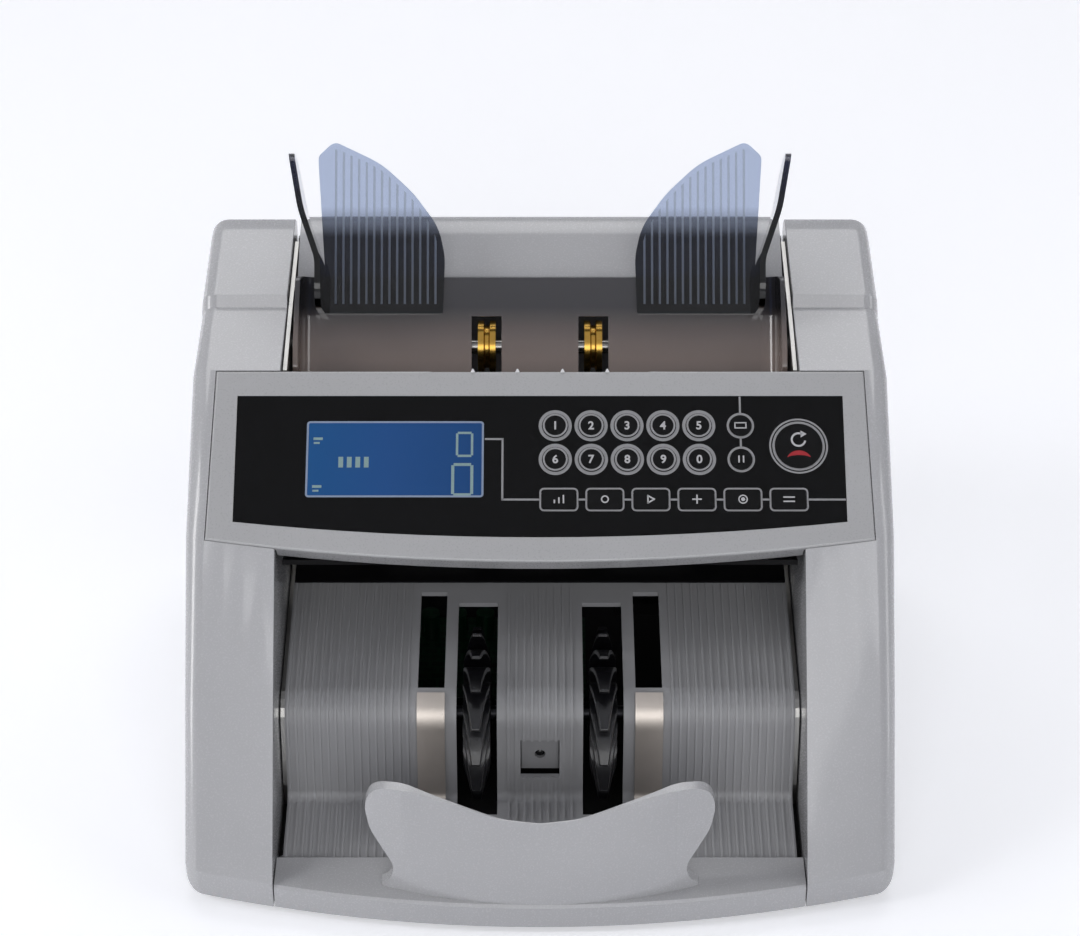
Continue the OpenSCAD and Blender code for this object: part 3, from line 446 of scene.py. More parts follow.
def bake_place(obj):
    """Moves the object's place into its mesh."""
    pick(obj)
    bpy.ops.object.transform_apply(location=True, rotation=True, scale=True)
    return obj


def modify(obj, kind, **settings):
    """Adds a modifier and applies it."""
    pick(obj)
    modifier = obj.modifiers.new(kind.title(), kind)
    for key, value in settings.items():
        setattr(modifier, key, value)
    bpy.ops.object.modifier_apply(modifier=modifier.name)
    return obj


def smooth(obj, angle=35):
    pick(obj)
    bpy.ops.object.shade_smooth_by_angle(angle=radians(angle))
    return obj


def paint(obj, material):
    obj.data.materials.clear()
    obj.data.materials.append(material)
    return obj


def paint_node(name, material):
    """Gives a CAD node that stays as it is a better finish."""
    obj = NODES[name]
    if not obj.data.materials:
        obj.data.materials.append(material)
    for slot in obj.material_slots:
        slot.material = material
    return obj


def settle(obj, name, body, material):
    """Names, paints and seats a finished piece on its body."""
    obj.name = name
    obj.data.name = name
    paint(obj, material)
    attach(obj, body)
    return obj


def join(pieces):
    """Joins pieces into the first one."""
    pick(*pieces)
    if len(pieces) > 1:
        bpy.ops.object.join()
    return bpy.context.view_layer.objects.active


def round_edges(obj, width, steps, choose):
    """Rounds the sharp outer edges whose middle the test chooses."""
    pick(obj)
    bpy.ops.object.mode_set(mode="EDIT")
    bpy.ops.mesh.select_mode(type="EDGE")
    bpy.ops.mesh.select_all(action="DESELECT")
    mesh = bmesh.from_edit_mesh(obj.data)
    sharp = [
        edge for edge in mesh.edges
        if len(edge.link_faces) == 2 and edge.is_convex and edge.calc_face_angle() > BROW
    ]
    for edge in sharp:
        if choose((edge.verts[0].co + edge.verts[1].co) / 2 / MM):
            edge.select_set(True)
    bmesh.update_edit_mesh(obj.data)
    bpy.ops.mesh.bevel(
        offset=width, segments=steps, profile=0.5, affect="EDGES", clamp_overlap=True
    )
    bpy.ops.object.mode_set(mode="OBJECT")
    return obj


def eased_copy(node, edge, brow=None):
    """A merged copy of a CAD node with its sharp edges rounded, as they leave the tool. The
    edges that the brow test chooses get the larger rounding."""
    obj = bpy.data.objects.new(node + "_eased", NODES[node].data.copy())
    bpy.context.scene.collection.objects.link(obj)
    pick(obj)
    bpy.ops.mesh.customdata_custom_splitnormals_clear()
    bpy.ops.object.mode_set(mode="EDIT")
    bpy.ops.mesh.select_all(action="SELECT")
    bpy.ops.mesh.remove_doubles(threshold=SEAM)
    bpy.ops.mesh.dissolve_limited(angle_limit=FLAT)
    bpy.ops.object.mode_set(mode="OBJECT")
    if brow:
        round_edges(obj, sizes().brow, 4, brow)
    if edge:
        modify(
            obj, "BEVEL", width=edge, segments=2, limit_method="ANGLE", angle_limit=SHARP,
            use_clamp_overlap=True, harden_normals=False, miter_outer="MITER_SHARP",
        )
    smooth(obj, 36)
    modify(obj, "WEIGHTED_NORMAL", keep_sharp=True, weight=80)
    return obj


def ease_node(node, edge, material, brow=None):
    """Shows a rounded copy of a CAD node in its place."""
    obj = settle(eased_copy(node, edge, brow), node + "_shell", BODY_OF[node], material)
    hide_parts(node)
    return obj


def second_finish(obj, material, chosen):
    """Gives another finish to the faces whose middle, in millimetres, the test chooses."""
    obj.data.materials.append(material)
    for face in obj.data.polygons:
        if chosen(Vector(face.center) / MM):
            face.material_index = 1
    return obj


def above_hopper(place):
    """The height of a place, in millimetres, above the hopper's plane through its hinge."""
    from_rail = place - RAIL / MM
    return from_rail.z * cos(HOPPER_TILT) - from_rail.y * sin(HOPPER_TILT)


def stand(obj, place, out, up):
    """Stands a flat piece drawn in XY at a place, its face towards one direction."""
    z = Vector(out).normalized()
    x = Vector(up).cross(z).normalized()
    y = z.cross(x)
    turn = Matrix((x, y, z)).transposed().to_4x4()
    obj.matrix_world = Matrix.Translation(Vector(place) * MM) @ turn
    return bake_place(obj)


def panel_place(x, s, t=0.0):
    """A point on the control panel: x across, s up the slope, t out of it, in metres."""
    return PANEL_ORIGIN + PANEL_TURN @ Vector((x, s, t))


def on_panel(obj, x, s, t):
    """Lays a flat piece drawn in XY on the control panel."""
    obj.matrix_world = Matrix.Translation(panel_place(x, s, t)) @ PANEL_TURN
    return bake_place(obj)


def panel_centre(node):
    """The middle of a key or window in panel coordinates."""
    lo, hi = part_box(node)
    local = PANEL_TURN.inverted() @ ((lo + hi) / 2 - PANEL_ORIGIN)
    return local.x, local.y


def raise_face(obj, height):
    """Turns a flat outline in XY into a solid of that height above it."""
    pick(obj)
    bpy.ops.object.mode_set(mode="EDIT")
    bpy.ops.mesh.select_all(action="SELECT")
    bpy.ops.mesh.extrude_region_move(TRANSFORM_OT_translate={"value": (0, 0, height)})
    bpy.ops.mesh.select_all(action="SELECT")
    bpy.ops.mesh.normals_make_consistent(inside=False)
    bpy.ops.object.mode_set(mode="OBJECT")
    return obj


def hollow_face(obj, width):
    """Insets the one face of a flat outline and opens its middle."""
    pick(obj)
    bpy.ops.object.mode_set(mode="EDIT")
    bpy.ops.mesh.select_all(action="SELECT")
    bpy.ops.mesh.inset(thickness=width, depth=0, use_even_offset=True)
    bpy.ops.mesh.delete(type="FACE")
    bpy.ops.object.mode_set(mode="OBJECT")
    return obj


def flat_disc(radius, steps=32):
    bpy.ops.mesh.primitive_circle_add(vertices=steps, radius=radius, fill_type="NGON")
    return bpy.context.active_object


def flat_block(width, height, corner=0.0):
    """A flat rectangle, its corners rounded."""
    bpy.ops.mesh.primitive_plane_add(size=1)
    obj = bpy.context.active_object
    obj.scale = (width, height, 1)
    bake_place(obj)
    if corner:
        bpy.ops.object.mode_set(mode="EDIT")
        bpy.ops.mesh.select_all(action="SELECT")
        bpy.ops.mesh.bevel(offset=corner, segments=5, affect="VERTICES")
        bpy.ops.object.mode_set(mode="OBJECT")
    return obj


def ring_print(radius, width, x, s, t):
    steps = sizes().ring_steps
    obj = raise_face(hollow_face(flat_disc(radius, steps), width), sizes().ink)
    return on_panel(obj, x, s, t)


def frame_print(width, height, corner, line, x, s, t):
    obj = raise_face(hollow_face(flat_block(width, height, corner), line), sizes().ink)
    return on_panel(obj, x, s, t)


def bar_print(x0, s0, x1, s1, line, t):
    """A straight printed line between two points of the panel."""
    run = Vector((x1 - x0, s1 - s0))
    obj = raise_face(flat_block(run.length + line, line), sizes().ink)
    obj.matrix_world = Matrix.Rotation(atan2(run.y, run.x), 4, "Z")
    bake_place(obj)
    return on_panel(obj, (x0 + x1) / 2, (s0 + s1) / 2, t)


def digit_print(text, height, x, s, t):
    """A printed digit, centred on a point of the panel."""
    digit_share_of_size = 0.73
    boldness = 0.035
    bpy.ops.object.text_add()
    obj = bpy.context.active_object
    obj.data.body = text
    obj.data.size = height / digit_share_of_size
    obj.data.align_x = "CENTER"
    obj.data.align_y = "CENTER"
    obj.data.offset = height * boldness
    obj.data.extrude = sizes().ink / 2
    obj.data.resolution_u = 6
    pick(obj)
    bpy.ops.object.convert(target="MESH")
    obj = bpy.context.active_object
    corners = [Vector(c) for c in obj.bound_box]
    middle = sum(corners, Vector()) / 8
    obj.data.transform(Matrix.Translation(-middle))
    on_panel(obj, x, s, t + sizes().ink / 2)
    pick(obj)
    bpy.ops.object.mode_set(mode="EDIT")
    bpy.ops.mesh.select_all(action="SELECT")
    bpy.ops.mesh.remove_doubles(threshold=0.000001)
    bpy.ops.object.mode_set(mode="OBJECT")
    return obj


def arc_points(radius_x, radius_y, middle_y, start, sweep, steps):
    """Points along an arc, its angles in degrees."""
    turns = [radians(start + sweep * k / steps) for k in range(steps + 1)]
    return [(radius_x * cos(a), middle_y + radius_y * sin(a)) for a in turns]


def outline_print(points, x, s, t, height=0.05):
    """A patch on the panel with a free outline, its points and places in millimetres."""
    mesh = bpy.data.meshes.new("patch")
    corners = [(px * MM, py * MM, 0) for px, py in points]
    mesh.from_pydata(corners, [], [list(range(len(points)))])
    obj = bpy.data.objects.new("patch", mesh)
    bpy.context.scene.collection.objects.link(obj)
    return on_panel(raise_face(obj, height * MM), x * MM, s * MM, t * MM)


# ---- Operators: one for each group of pieces ----


class COUNTER_OT_stage(Operator):
    """Floor, lamps, world and camera"""

    bl_idname = "counter.stage"
    bl_label = "Stage"

    def execute(self, context):
        context.scene.view_settings.view_transform = "Standard"
        self.floor()
        self.world(context.scene)
        self.lamps()
        self.camera(context.scene)
        return {"FINISHED"}

    def floor(self):
        """A pale floor that bends up into a wall far behind the machine."""
        wall_from = 3
        bpy.ops.mesh.primitive_plane_add(size=1, location=(0, 0.6, 0))
        floor = bpy.context.active_object
        floor.scale = (9, 7, 1)
        bake_place(floor)
        bpy.ops.object.mode_set(mode="EDIT")
        mesh = bmesh.from_edit_mesh(floor.data)
        for edge in mesh.edges:
            edge.select = all(v.co.y > wall_from for v in edge.verts)
        mesh.select_flush(True)
        for vert in mesh.verts:
            vert.select = vert.co.y > wall_from
        bmesh.update_edit_mesh(floor.data)
        bpy.ops.mesh.extrude_region_move(TRANSFORM_OT_translate={"value": (0, 0, 4)})
        bpy.ops.object.mode_set(mode="OBJECT")
        modify(
            floor, "BEVEL", width=1.5, segments=12, limit_method="ANGLE",
            angle_limit=radians(40),
        )
        smooth(floor, 60)
        floor.name = "floor"
        material, tree = new_material("painted studio floor")
        seen = self.seen(tree)
        diffuse = add_node(
            tree, "ShaderNodeBsdfPrincipled",
            {"Base Color": colours().floor, "Roughness": 0.6},
        )
        glow = add_node(
            tree, "ShaderNodeEmission", {"Color": hex_linear("#ffffff"), "Strength": 0.35}
        )
        blank = add_node(
            tree, "ShaderNodeEmission", {"Color": hex_linear("#000000"), "Strength": 0.0}
        )
        lift = add_node(
            tree, "ShaderNodeMixShader", None,
            {0: seen, 1: blank.outputs[0], 2: glow.outputs[0]},
        )
        both = add_node(
            tree, "ShaderNodeAddShader", None, {0: diffuse.outputs[0], 1: lift.outputs[0]}
        )
        add_node(tree, "ShaderNodeOutputMaterial", None, {"Surface": both.outputs[0]})
        paint(floor, material)

    def world(self, scene):
        """A soft room that looks plain white to the camera."""
        world = bpy.data.worlds.new("soft studio")
        world.use_nodes = True
        tree = world.node_tree
        tree.nodes.clear()
        seen = self.seen(tree)
        room = add_node(
            tree, "ShaderNodeBackground", {"Color": hex_linear("#eef1f8"), "Strength": 0.5}
        )
        white = add_node(
            tree, "ShaderNodeBackground", {"Color": hex_linear("#ffffff"), "Strength": 1.0}
        )
        mix = add_node(
            tree, "ShaderNodeMixShader", None,
            {0: seen, 1: room.outputs[0], 2: white.outputs[0]},
        )
        add_node(tree, "ShaderNodeOutputWorld", None, {"Surface": mix.outputs[0]})
        scene.world = world

    def lamps(self):
        # Name, place and aim in metres, width, height and watts
        for name, place, aim, width, height, power in (
            ("lamp_top", (0, 1.05, 1.5), (0, 0.02, 0.1), 1.6, 0.9, 8.8),
            ("lamp_left", (-1.5, -0.3, 0.75), (0, 0, 0.1), 0.3, 1.6, 10.5),
            ("lamp_right", (1.5, -0.3, 0.75), (0, 0, 0.1), 0.3, 1.6, 4.0),
            ("lamp_front", (0.1, -1.7, 1.0), (0, 0, 0.08), 1.4, 0.9, 10.5),
        ):
            bpy.ops.object.light_add(type="AREA", location=place)
            lamp = bpy.context.active_object
            lamp.name = name
            lamp.data.shape = "RECTANGLE"
            lamp.data.size = width
            lamp.data.size_y = height
            lamp.data.energy = power
            lamp.rotation_euler = (
                (Vector(aim) - Vector(place)).to_track_quat("-Z", "Y").to_euler()
            )

    def camera(self, scene):
        """The camera looks down at the front by the tilt of the panel."""
        turn = (radians(90) - PANEL_TILT, 0, 0)
        bpy.ops.object.camera_add(location=(0, -0.9205, 0.7767), rotation=turn)
        camera = bpy.context.active_object
        camera.name = "camera"
        camera.data.sensor_width = 36
        camera.data.lens = sizes().lens
        camera.data.clip_start = 0.02
        scene.camera = camera

    def seen(self, tree):
        """1 for what the camera sees directly, in a gloss or through clear plastic, and 0 for
        the light that falls on the object."""
        path = add_node(tree, "ShaderNodeLightPath")
        value = path.outputs["Is Camera Ray"]
        for name in ("Is Glossy Ray", "Is Transmission Ray"):
            value = add_node(
                tree, "ShaderNodeMath", {"operation": "MAXIMUM"},
                {0: value, 1: path.outputs[name]},
            ).outputs[0]
        return value


class COUNTER_OT_covers(Operator):
    """Moulded covers, base, rear panel, front plate and feet"""

    bl_idname = "counter.covers"
    bl_label = "Covers"

    def execute(self, context):
        edge = sizes().edge
        shell = moulded_plastic(
            "satin moulded ABS, light grey", colours().cover, 0.26, coat=0.5
        )
        for node in ("side_cover_left", "side_cover_right"):
            ease_node(node, edge, shell, self.pocket_edge)
        ease_node("stack_plate", edge, shell, lambda p: True)
        base = ease_node("base_chassis", edge, shell, self.forward)
        ease_node("top_cover", edge, shell, self.forward)
        rear = ease_node("rear_panel", edge, shell)
        # Painted shade: the rear panel's inner faces and the base's floor under the mechanism
        # are near black, as the shade inside the machine
        inner_shade = moulded_plastic("painted shade inside, near black", hex_linear("#101011"), 0.8)
        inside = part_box("rear_panel")[1].y / MM - 3.2
        second_finish(rear, inner_shade, lambda p: p.y < inside)
        second_finish(base, inner_shade, self.under_mechanism)
        paint_node("rubber_feet", rubber("moulded rubber foot", colours().rubber_black))
        return {"FINISHED"}

    def pocket_edge(self, place):
        """True beside the inner wall of a cheek, in millimetres."""
        return 103.5 < abs(place.x) < 106.5

    def forward(self, place):
        """True for all but the rear of the machine, in millimetres."""
        return place.y < 60

    def under_mechanism(self, place):
        """True on the base's floor behind the stacker pocket, where painted shade goes, in
        millimetres.
        """
        return 4.5 < place.z < 5.6 and place.y > -55


class COUNTER_OT_control_panel(Operator):
    """Panel housing, glossy overlay and keys"""

    bl_idname = "counter.control_panel"
    bl_label = "Control panel"

    def execute(self, context):
        housing = moulded_plastic(
            "satin moulded ABS, mid grey", colours().bezel, 0.28, coat=0.5
        )
        ease_node(
            "control_panel_bezel", sizes().edge, housing, self.outer_edge
        )
        # Painted highlights: white patches on the tips of the housing's comb ribs, where light
        # catches them
        tip = [(-0.9, 0), (0.9, 0), (0.25, 1.4), (-0.25, 1.4)]
        tips = [outline_print(tip, x, 80.7, -1.2, 1.1) for x in (-27.2, -9.1, 9.1, 27.2)]
        settle(
            join(tips), "comb_tip_highlights", "machine",
            moulded_plastic("painted highlight, white", hex_linear("#e9e9ea"), 0.3),
        )
        gloss = moulded_plastic(
            "glossy polyester film, black", colours().overlay, 0.12, 3.0, ior=1.6, gloss=0.11
        )
        paint_node("panel_overlay", gloss)
        cap = moulded_plastic(
            "embossed polyester film, black", colours().overlay, 0.2, 2.0, ior=1.6, gloss=0.14
        )
        for node in NODES:
            if node.startswith("key_"):
                paint_node(node, cap)
        # Partly painted shade: the guide's own black is taken darker and duller, as it sits in
        # shade under the panel
        guide = moulded_plastic(
            "matt moulded ABS, black", colours().guide_black, 0.5, gloss=0.1
        )
        paint_node("front_guide", guide)
        self.guide_lip(guide)
        # Painted shade: the boards are darkened to near black, as they sit in the shade inside
        board = solder_mask("solder mask over copper, darkened as painted shade", hex_linear("#072414"))
        paint_node("keypad_board", board)
        paint_node("main_board", board)
        return {"FINISHED"}

    def outer_edge(self, place):
        """True for the upper edges round the outside of the housing, in millimetres."""
        x, s, t = PANEL_TURN.inverted() @ (place - PANEL_ORIGIN / MM)
        twice_bow_radius = 1910
        low = s - x * x / twice_bow_radius < 1.5
        return t > -0.6 and (low or abs(x) > 130.5 or (s > 80 and abs(x) > 50))

    def guide_lip(self, material):
        """The black strip that closes the rear edge of the ribbed plate."""
        lo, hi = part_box("ribbed_plate")
        above_ribs = Vector((0, 0, 1.5))
        bpy.ops.mesh.primitive_cube_add(size=1)
        lip = bpy.context.active_object
        lip.scale = (hi.x - lo.x - 0.6 * MM, 13.8 * MM, 1.3 * MM)
        bake_place(lip)
        bpy.ops.object.mode_set(mode="EDIT")
        bpy.ops.mesh.select_all(action="SELECT")
        bpy.ops.mesh.bevel(offset=0.25 * MM, segments=2, affect="EDGES")
        bpy.ops.object.mode_set(mode="OBJECT")
        place = Matrix.Translation((ROOF_REAR + above_ribs) * MM)
        lip.matrix_world = place @ Matrix.Rotation(ROOF_SLOPE, 4, "X")
        settle(smooth(bake_place(lip)), "front_guide_lip", "machine", material)


class COUNTER_OT_panel_print(Operator):
    """Rings, lines, digits and plain signs printed on the overlay and the keys"""

    bl_idname = "counter.panel_print"
    bl_label = "Panel printing"

    def execute(self, context):
        size = sizes()
        silver = printed_ink("screen printed ink, silver grey", colours().print_grey)
        white = printed_ink("screen printed ink, off-white", colours().digit_white)
        red = printed_ink("screen printed ink, red", colours().mark_red)
        flat, cap = INK_OVERLAY, INK_CAPS
        line = size.line

        rings = []
        for digit in "1234567890":
            node = "key_" + digit
            x, s = panel_centre(node)
            rings.append(ring_print(size.digit_ring, 1.35 * MM, x, s, flat))
            inner = ring_print(5.0 * MM, 0.75 * MM, x, s, cap)
            settle(inner, node + "_ring", BODY_OF[node], silver)
            printed = digit_print(digit, size.digit, x, s, cap)
            settle(printed, node + "_digit", BODY_OF[node], white)
        for node in ("key_small_upper", "key_small_lower"):
            x, s = panel_centre(node)
            rings.append(ring_print(size.small_ring, 0.95 * MM, x, s, flat))
        x, s = panel_centre("key_large")
        rings.append(ring_print(size.large_ring, 0.75 * MM, x, s, flat))
        rings.append(ring_print(size.large_ring - 1.25 * MM, 0.95 * MM, x, s, flat))
        for i in range(1, 7):
            x, s = panel_centre(f"key_function_{i}")
            rings.append(frame_print(15.5 * MM, 9.9 * MM, 1.9 * MM, 0.72 * MM, x, s, flat))
        settle(join(rings), "print_rings", "machine", silver)

        x_small, s_upper = panel_centre("key_small_upper")
        s_lower = panel_centre("key_small_lower")[1]
        s_row = panel_centre("key_function_1")[1]
        lcd_right = -22.5 * MM
        s_out = 51.7 * MM
        corner_x = -15 * MM
        overlay_top = 69.6 * MM
        overlay_right = 121.2 * MM
        half_frame = 7.9 * MM
        lines = [
            bar_print(lcd_right + line, s_out, corner_x, s_out, line, flat),
            bar_print(corner_x, s_out, corner_x, s_row, line, flat),
            bar_print(x_small, overlay_top, x_small, s_upper + size.small_ring, line, flat),
            bar_print(
                x_small, s_upper - size.small_ring, x_small, s_lower + size.small_ring, line,
                flat,
            ),
        ]
        stop = corner_x
        for i in range(1, 7):
            x = panel_centre(f"key_function_{i}")[0]
            lines.append(bar_print(stop, s_row, x - half_frame, s_row, line, flat))
            stop = x + half_frame
        lines.append(bar_print(stop, s_row, overlay_right, s_row, line, flat))
        settle(join(lines), "print_lines", "machine", silver)

        self.signs(white, cap)
        x, s = panel_centre("key_large")
        upper = arc_points(5.1, 4.6, -6.6, 25, 130, 16)
        lower = arc_points(5.1, 1.6, -5.6, 155, -130, 16)
        mark = outline_print(upper + lower, x / MM, s / MM, cap / MM)
        settle(mark, "key_large_mark", BODY_OF["key_large"], red)
        return {"FINISHED"}

    def signs(self, ink, t):
        """Plain signs on the keys that aren't digits, from bars and rings in millimetres."""
        play = ((-1.2, 1.5, 1.3, 0), (-1.2, -1.5, 1.3, 0), (-1.2, -1.5, -1.2, 1.5))
        box = (
            (-2.2, 1.1, 2.2, 1.1), (-2.2, -1.1, 2.2, -1.1),
            (-2.2, -1.1, -2.2, 1.1), (2.2, -1.1, 2.2, 1.1),
        )
        steps = ((-1.8, -1.4, -1.8, -0.5), (0, -1.4, 0, 0.5), (1.8, -1.4, 1.8, 1.5))
        # Key, width of the bars, ends of the bars, radius and width of the rings
        signs = (
            ("key_function_1", 0.6, steps, ()),
            ("key_function_2", 0.6, (), ((1.6, 0.55),)),
            ("key_function_3", 0.6, play, ()),
            ("key_function_4", 0.6, ((-1.6, 0, 1.6, 0), (0, -1.6, 0, 1.6)), ()),
            ("key_function_5", 0.6, (), ((1.9, 0.5), (0.8, 0.78))),
            ("key_function_6", 0.6, ((-2.0, 0.9, 2.0, 0.9), (-2.0, -0.9, 2.0, -0.9)), ()),
            ("key_small_upper", 0.5, box, ()),
            ("key_small_lower", 0.6, ((-0.9, -1.2, -0.9, 1.2), (0.9, -1.2, 0.9, 1.2)), ()),
        )
        for node, width, bars, rings in signs:
            x, s = panel_centre(node)
            parts = [
                bar_print(x + x0 * MM, s + s0 * MM, x + x1 * MM, s + s1 * MM, width * MM, t)
                for x0, s0, x1, s1 in bars
            ]
            parts += [ring_print(radius * MM, line * MM, x, s, t) for radius, line in rings]
            settle(join(parts), node + "_sign", BODY_OF[node], ink)
        x, s = panel_centre("key_large")
        outer = arc_points(3.1, 3.1, 0, 60, 290, 24)
        inner = arc_points(2.3, 2.3, 0, 60, 290, 24)
        place = (x / MM, s / MM + 2.6, t / MM)
        loop = outline_print(outer + inner[::-1], *place)
        tip = outline_print([(0.9, 3.9), (0.9, 0.9), (3.3, 2.4)], *place)
        settle(join([loop, tip]), "key_large_sign", BODY_OF["key_large"], ink)


class COUNTER_OT_display(Operator):
    """Backlit window, its printed frame and the lit segments"""

    bl_idname = "counter.display"
    bl_label = "Display"

    def execute(self, context):
        blue = backlit_display(
            "blue backlit display", colours().display_left, colours().display_right, 0.55
        )
        lit = printed_ink("lit display segments", colours().segment, 0.3)
        rim = printed_ink("screen printed ink, pale blue", hex_linear("#8f9db5"))
        black = moulded_plastic("matt moulded ABS, black, display", colours().guide_black, 0.5)
        paint_node("lcd_module", black)
        x, s = panel_centre("panel_overlay")[0] - 58 * MM, 43.2 * MM
        window = raise_face(flat_block(70.9 * MM, 32.3 * MM, 1.3 * MM), 0.05 * MM)
        on_panel(window, x, s, -0.19 * MM)
        settle(window, "display_window", "machine", blue)
        rim_piece = frame_print(71.0 * MM, 32.4 * MM, 1.4 * MM, 0.8 * MM, x, s, -0.1 * MM)
        settle(rim_piece, "display_rim", "machine", rim)
        parts = self.zero(-33.2, 44.6, 6.0, 9.8, 0.95)
        parts += self.zero(-34.8, 28.1, 7.6, 12.8, 1.2)
        for k in range(4):
            x = -79.6 + 3.4 * k
            parts.append(self.segment(x, 40.6, x, 43.2, 1.9))
        for s in (51.9, 31.6):
            parts.append(self.segment(-90.2, s, -87.6, s, 1.1))
            parts.append(self.segment(-90.2, s - 1.8, -88.6, s - 1.8, 0.8))
        settle(join(parts), "display_segments", "machine", lit)
        return {"FINISHED"}

    def segment(self, x0, s0, x1, s1, width):
        """A lit bar below the overlay, in millimetres."""
        t = -0.13 * MM
        return bar_print(x0 * MM, s0 * MM, x1 * MM, s1 * MM, width * MM, t)

    def zero(self, x, s, width, height, bar):
        """The six lit segments of a nought with its lower left corner at (x, s)."""
        gap = bar * 0.75
        half = height / 2
        ends = [
            ((x + gap, s + height), (x + width - gap, s + height)),
            ((x + gap, s), (x + width - gap, s)),
        ]
        for side in (x, x + width):
            ends.append(((side, s + gap), (side, s + half - gap * 0.6)))
            ends.append(((side, s + half + gap * 0.6), (side, s + height - gap)))
        return [self.segment(*a, *b, bar) for a, b in ends]


class COUNTER_OT_hopper(Operator):
    """Smoked hopper cover, note guides, rail and side frames"""

    bl_idname = "counter.hopper"
    bl_label = "Hopper"

    def execute(self, context):
        smoke = smoked_sheet(
            "polished smoked polycarbonate", colours().smoke_painted_reflection, colours().smoke, 0.09, 0.3
        )
        blue = graded_acrylic(
            "polished blue-grey acrylic", colours().guide_clear, colours().guide_painted_shade, 21, 34
        )
        # Frosted rib tops, their lighter tint partly a painted highlight of light caught on the
        # rib edges
        frosted = tinted_clear(
            "frosted blue-grey acrylic", colours().guide_rib_highlight, 0.35, 1.49, 0.7
        )
        ease_node("hopper_cover", sizes().fine_edge, smoke)
        for node in ("guide_left", "guide_right"):
            guide = ease_node(node, sizes().fine_edge, blue)
            second_finish(guide, frosted, self.rib_top)
        ground = brushed_metal("ground steel shaft", colours().steel, 0.25, 0.3, "X")
        sheet = brushed_metal("zinc plated sheet steel", colours().steel, 0.3, 0.5, "Z")
        paint_node("guide_rail", ground)
        for node in ("side_frame_left", "side_frame_right"):
            paint_node(node, sheet)
        return {"FINISHED"}

    def rib_top(self, place):
        """True on the tops of the ribs of a guide's fin, inside the side fin, where the painted
        highlight goes.
        """
        return 8.3 < above_hopper(place) < 9.7 and abs(place.x) < 87.5


class COUNTER_OT_note_path(Operator):
    """Ribbed plate, steel strips, sensor and stacker wheels"""

    bl_idname = "counter.note_path"
    bl_label = "Note path"

    def execute(self, context):
        plate = moulded_plastic("matt moulded ABS, mid grey", colours().plate, 0.45)
        ease_node("ribbed_plate", 0, plate)
        strip = brushed_metal("satin stainless strip", colours().strip, 0.42, 0.4, "Z")
        ease_node("steel_strips", 0, strip)
        sensor = moulded_plastic("matt moulded ABS, sensor grey", hex_linear("#9a9a9c"), 0.5)
        paint_node("note_sensor", sensor)
        self.sensor_lens()
        wheel = moulded_plastic("semi-gloss nylon, black", colours().wheel, 0.3)
        for node in ("stacker_wheel_left", "stacker_wheel_right"):
            ease_node(node, sizes().fine_edge, wheel)
        return {"FINISHED"}

    def sensor_lens(self):
        """The dark domed lens at the bottom of the sensor's bore."""
        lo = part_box("note_sensor")[0]
        bpy.ops.mesh.primitive_uv_sphere_add(segments=32, ring_count=16, radius=2.16 * MM)
        lens = bpy.context.active_object
        lens.location = (0, lo.y + 2.3 * MM, lo.z + 10 * MM)
        settle(
            smooth(bake_place(lens)), "sensor_lens", "machine",
            moulded_plastic("infrared filter epoxy, black", hex_linear("#0a0a0c"), 0.15),
        )


class COUNTER_OT_drive(Operator):
    """Shafts, rollers, belts, motor and electrical parts"""

    bl_idname = "counter.drive"
    bl_label = "Drive"

    def execute(self, context):
        ground = brushed_metal("ground steel shaft, drive", colours().steel, 0.25, 0.3, "X")
        for node in (
            "pickup_shaft", "feed_shaft", "retard_shaft", "transport_shaft", "motor_pulley",
            "pinch_rollers",
        ):
            paint_node(node, ground)
        black = brushed_metal("black oxide steel shaft", hex_linear("#37373a"), 0.35, 0.3, "X")
        paint_node("stacker_shaft", black)
        brass = brushed_metal("turned brass", colours().brass, 0.22, 0.2, "X")
        paint_node("pickup_hubs", brass)
        roller = rubber("ground rubber roller", colours().rubber_black)
        for node in ("feed_rollers", "retard_rollers", "transport_rollers", "drive_belts"):
            paint_node(node, roller)
        can = brushed_metal("zinc plated motor can", hex_linear("#8d8d8b"), 0.35, 0.5, "X")
        paint_node("drive_motor", can)
        # Partly painted shade: the core is dark, and is taken to near black as it sits in the
        # shade inside
        core = moulded_plastic("black dipped iron core", hex_linear("#151516"), 0.55)
        paint_node("transformer", core)
        return {"FINISHED"}


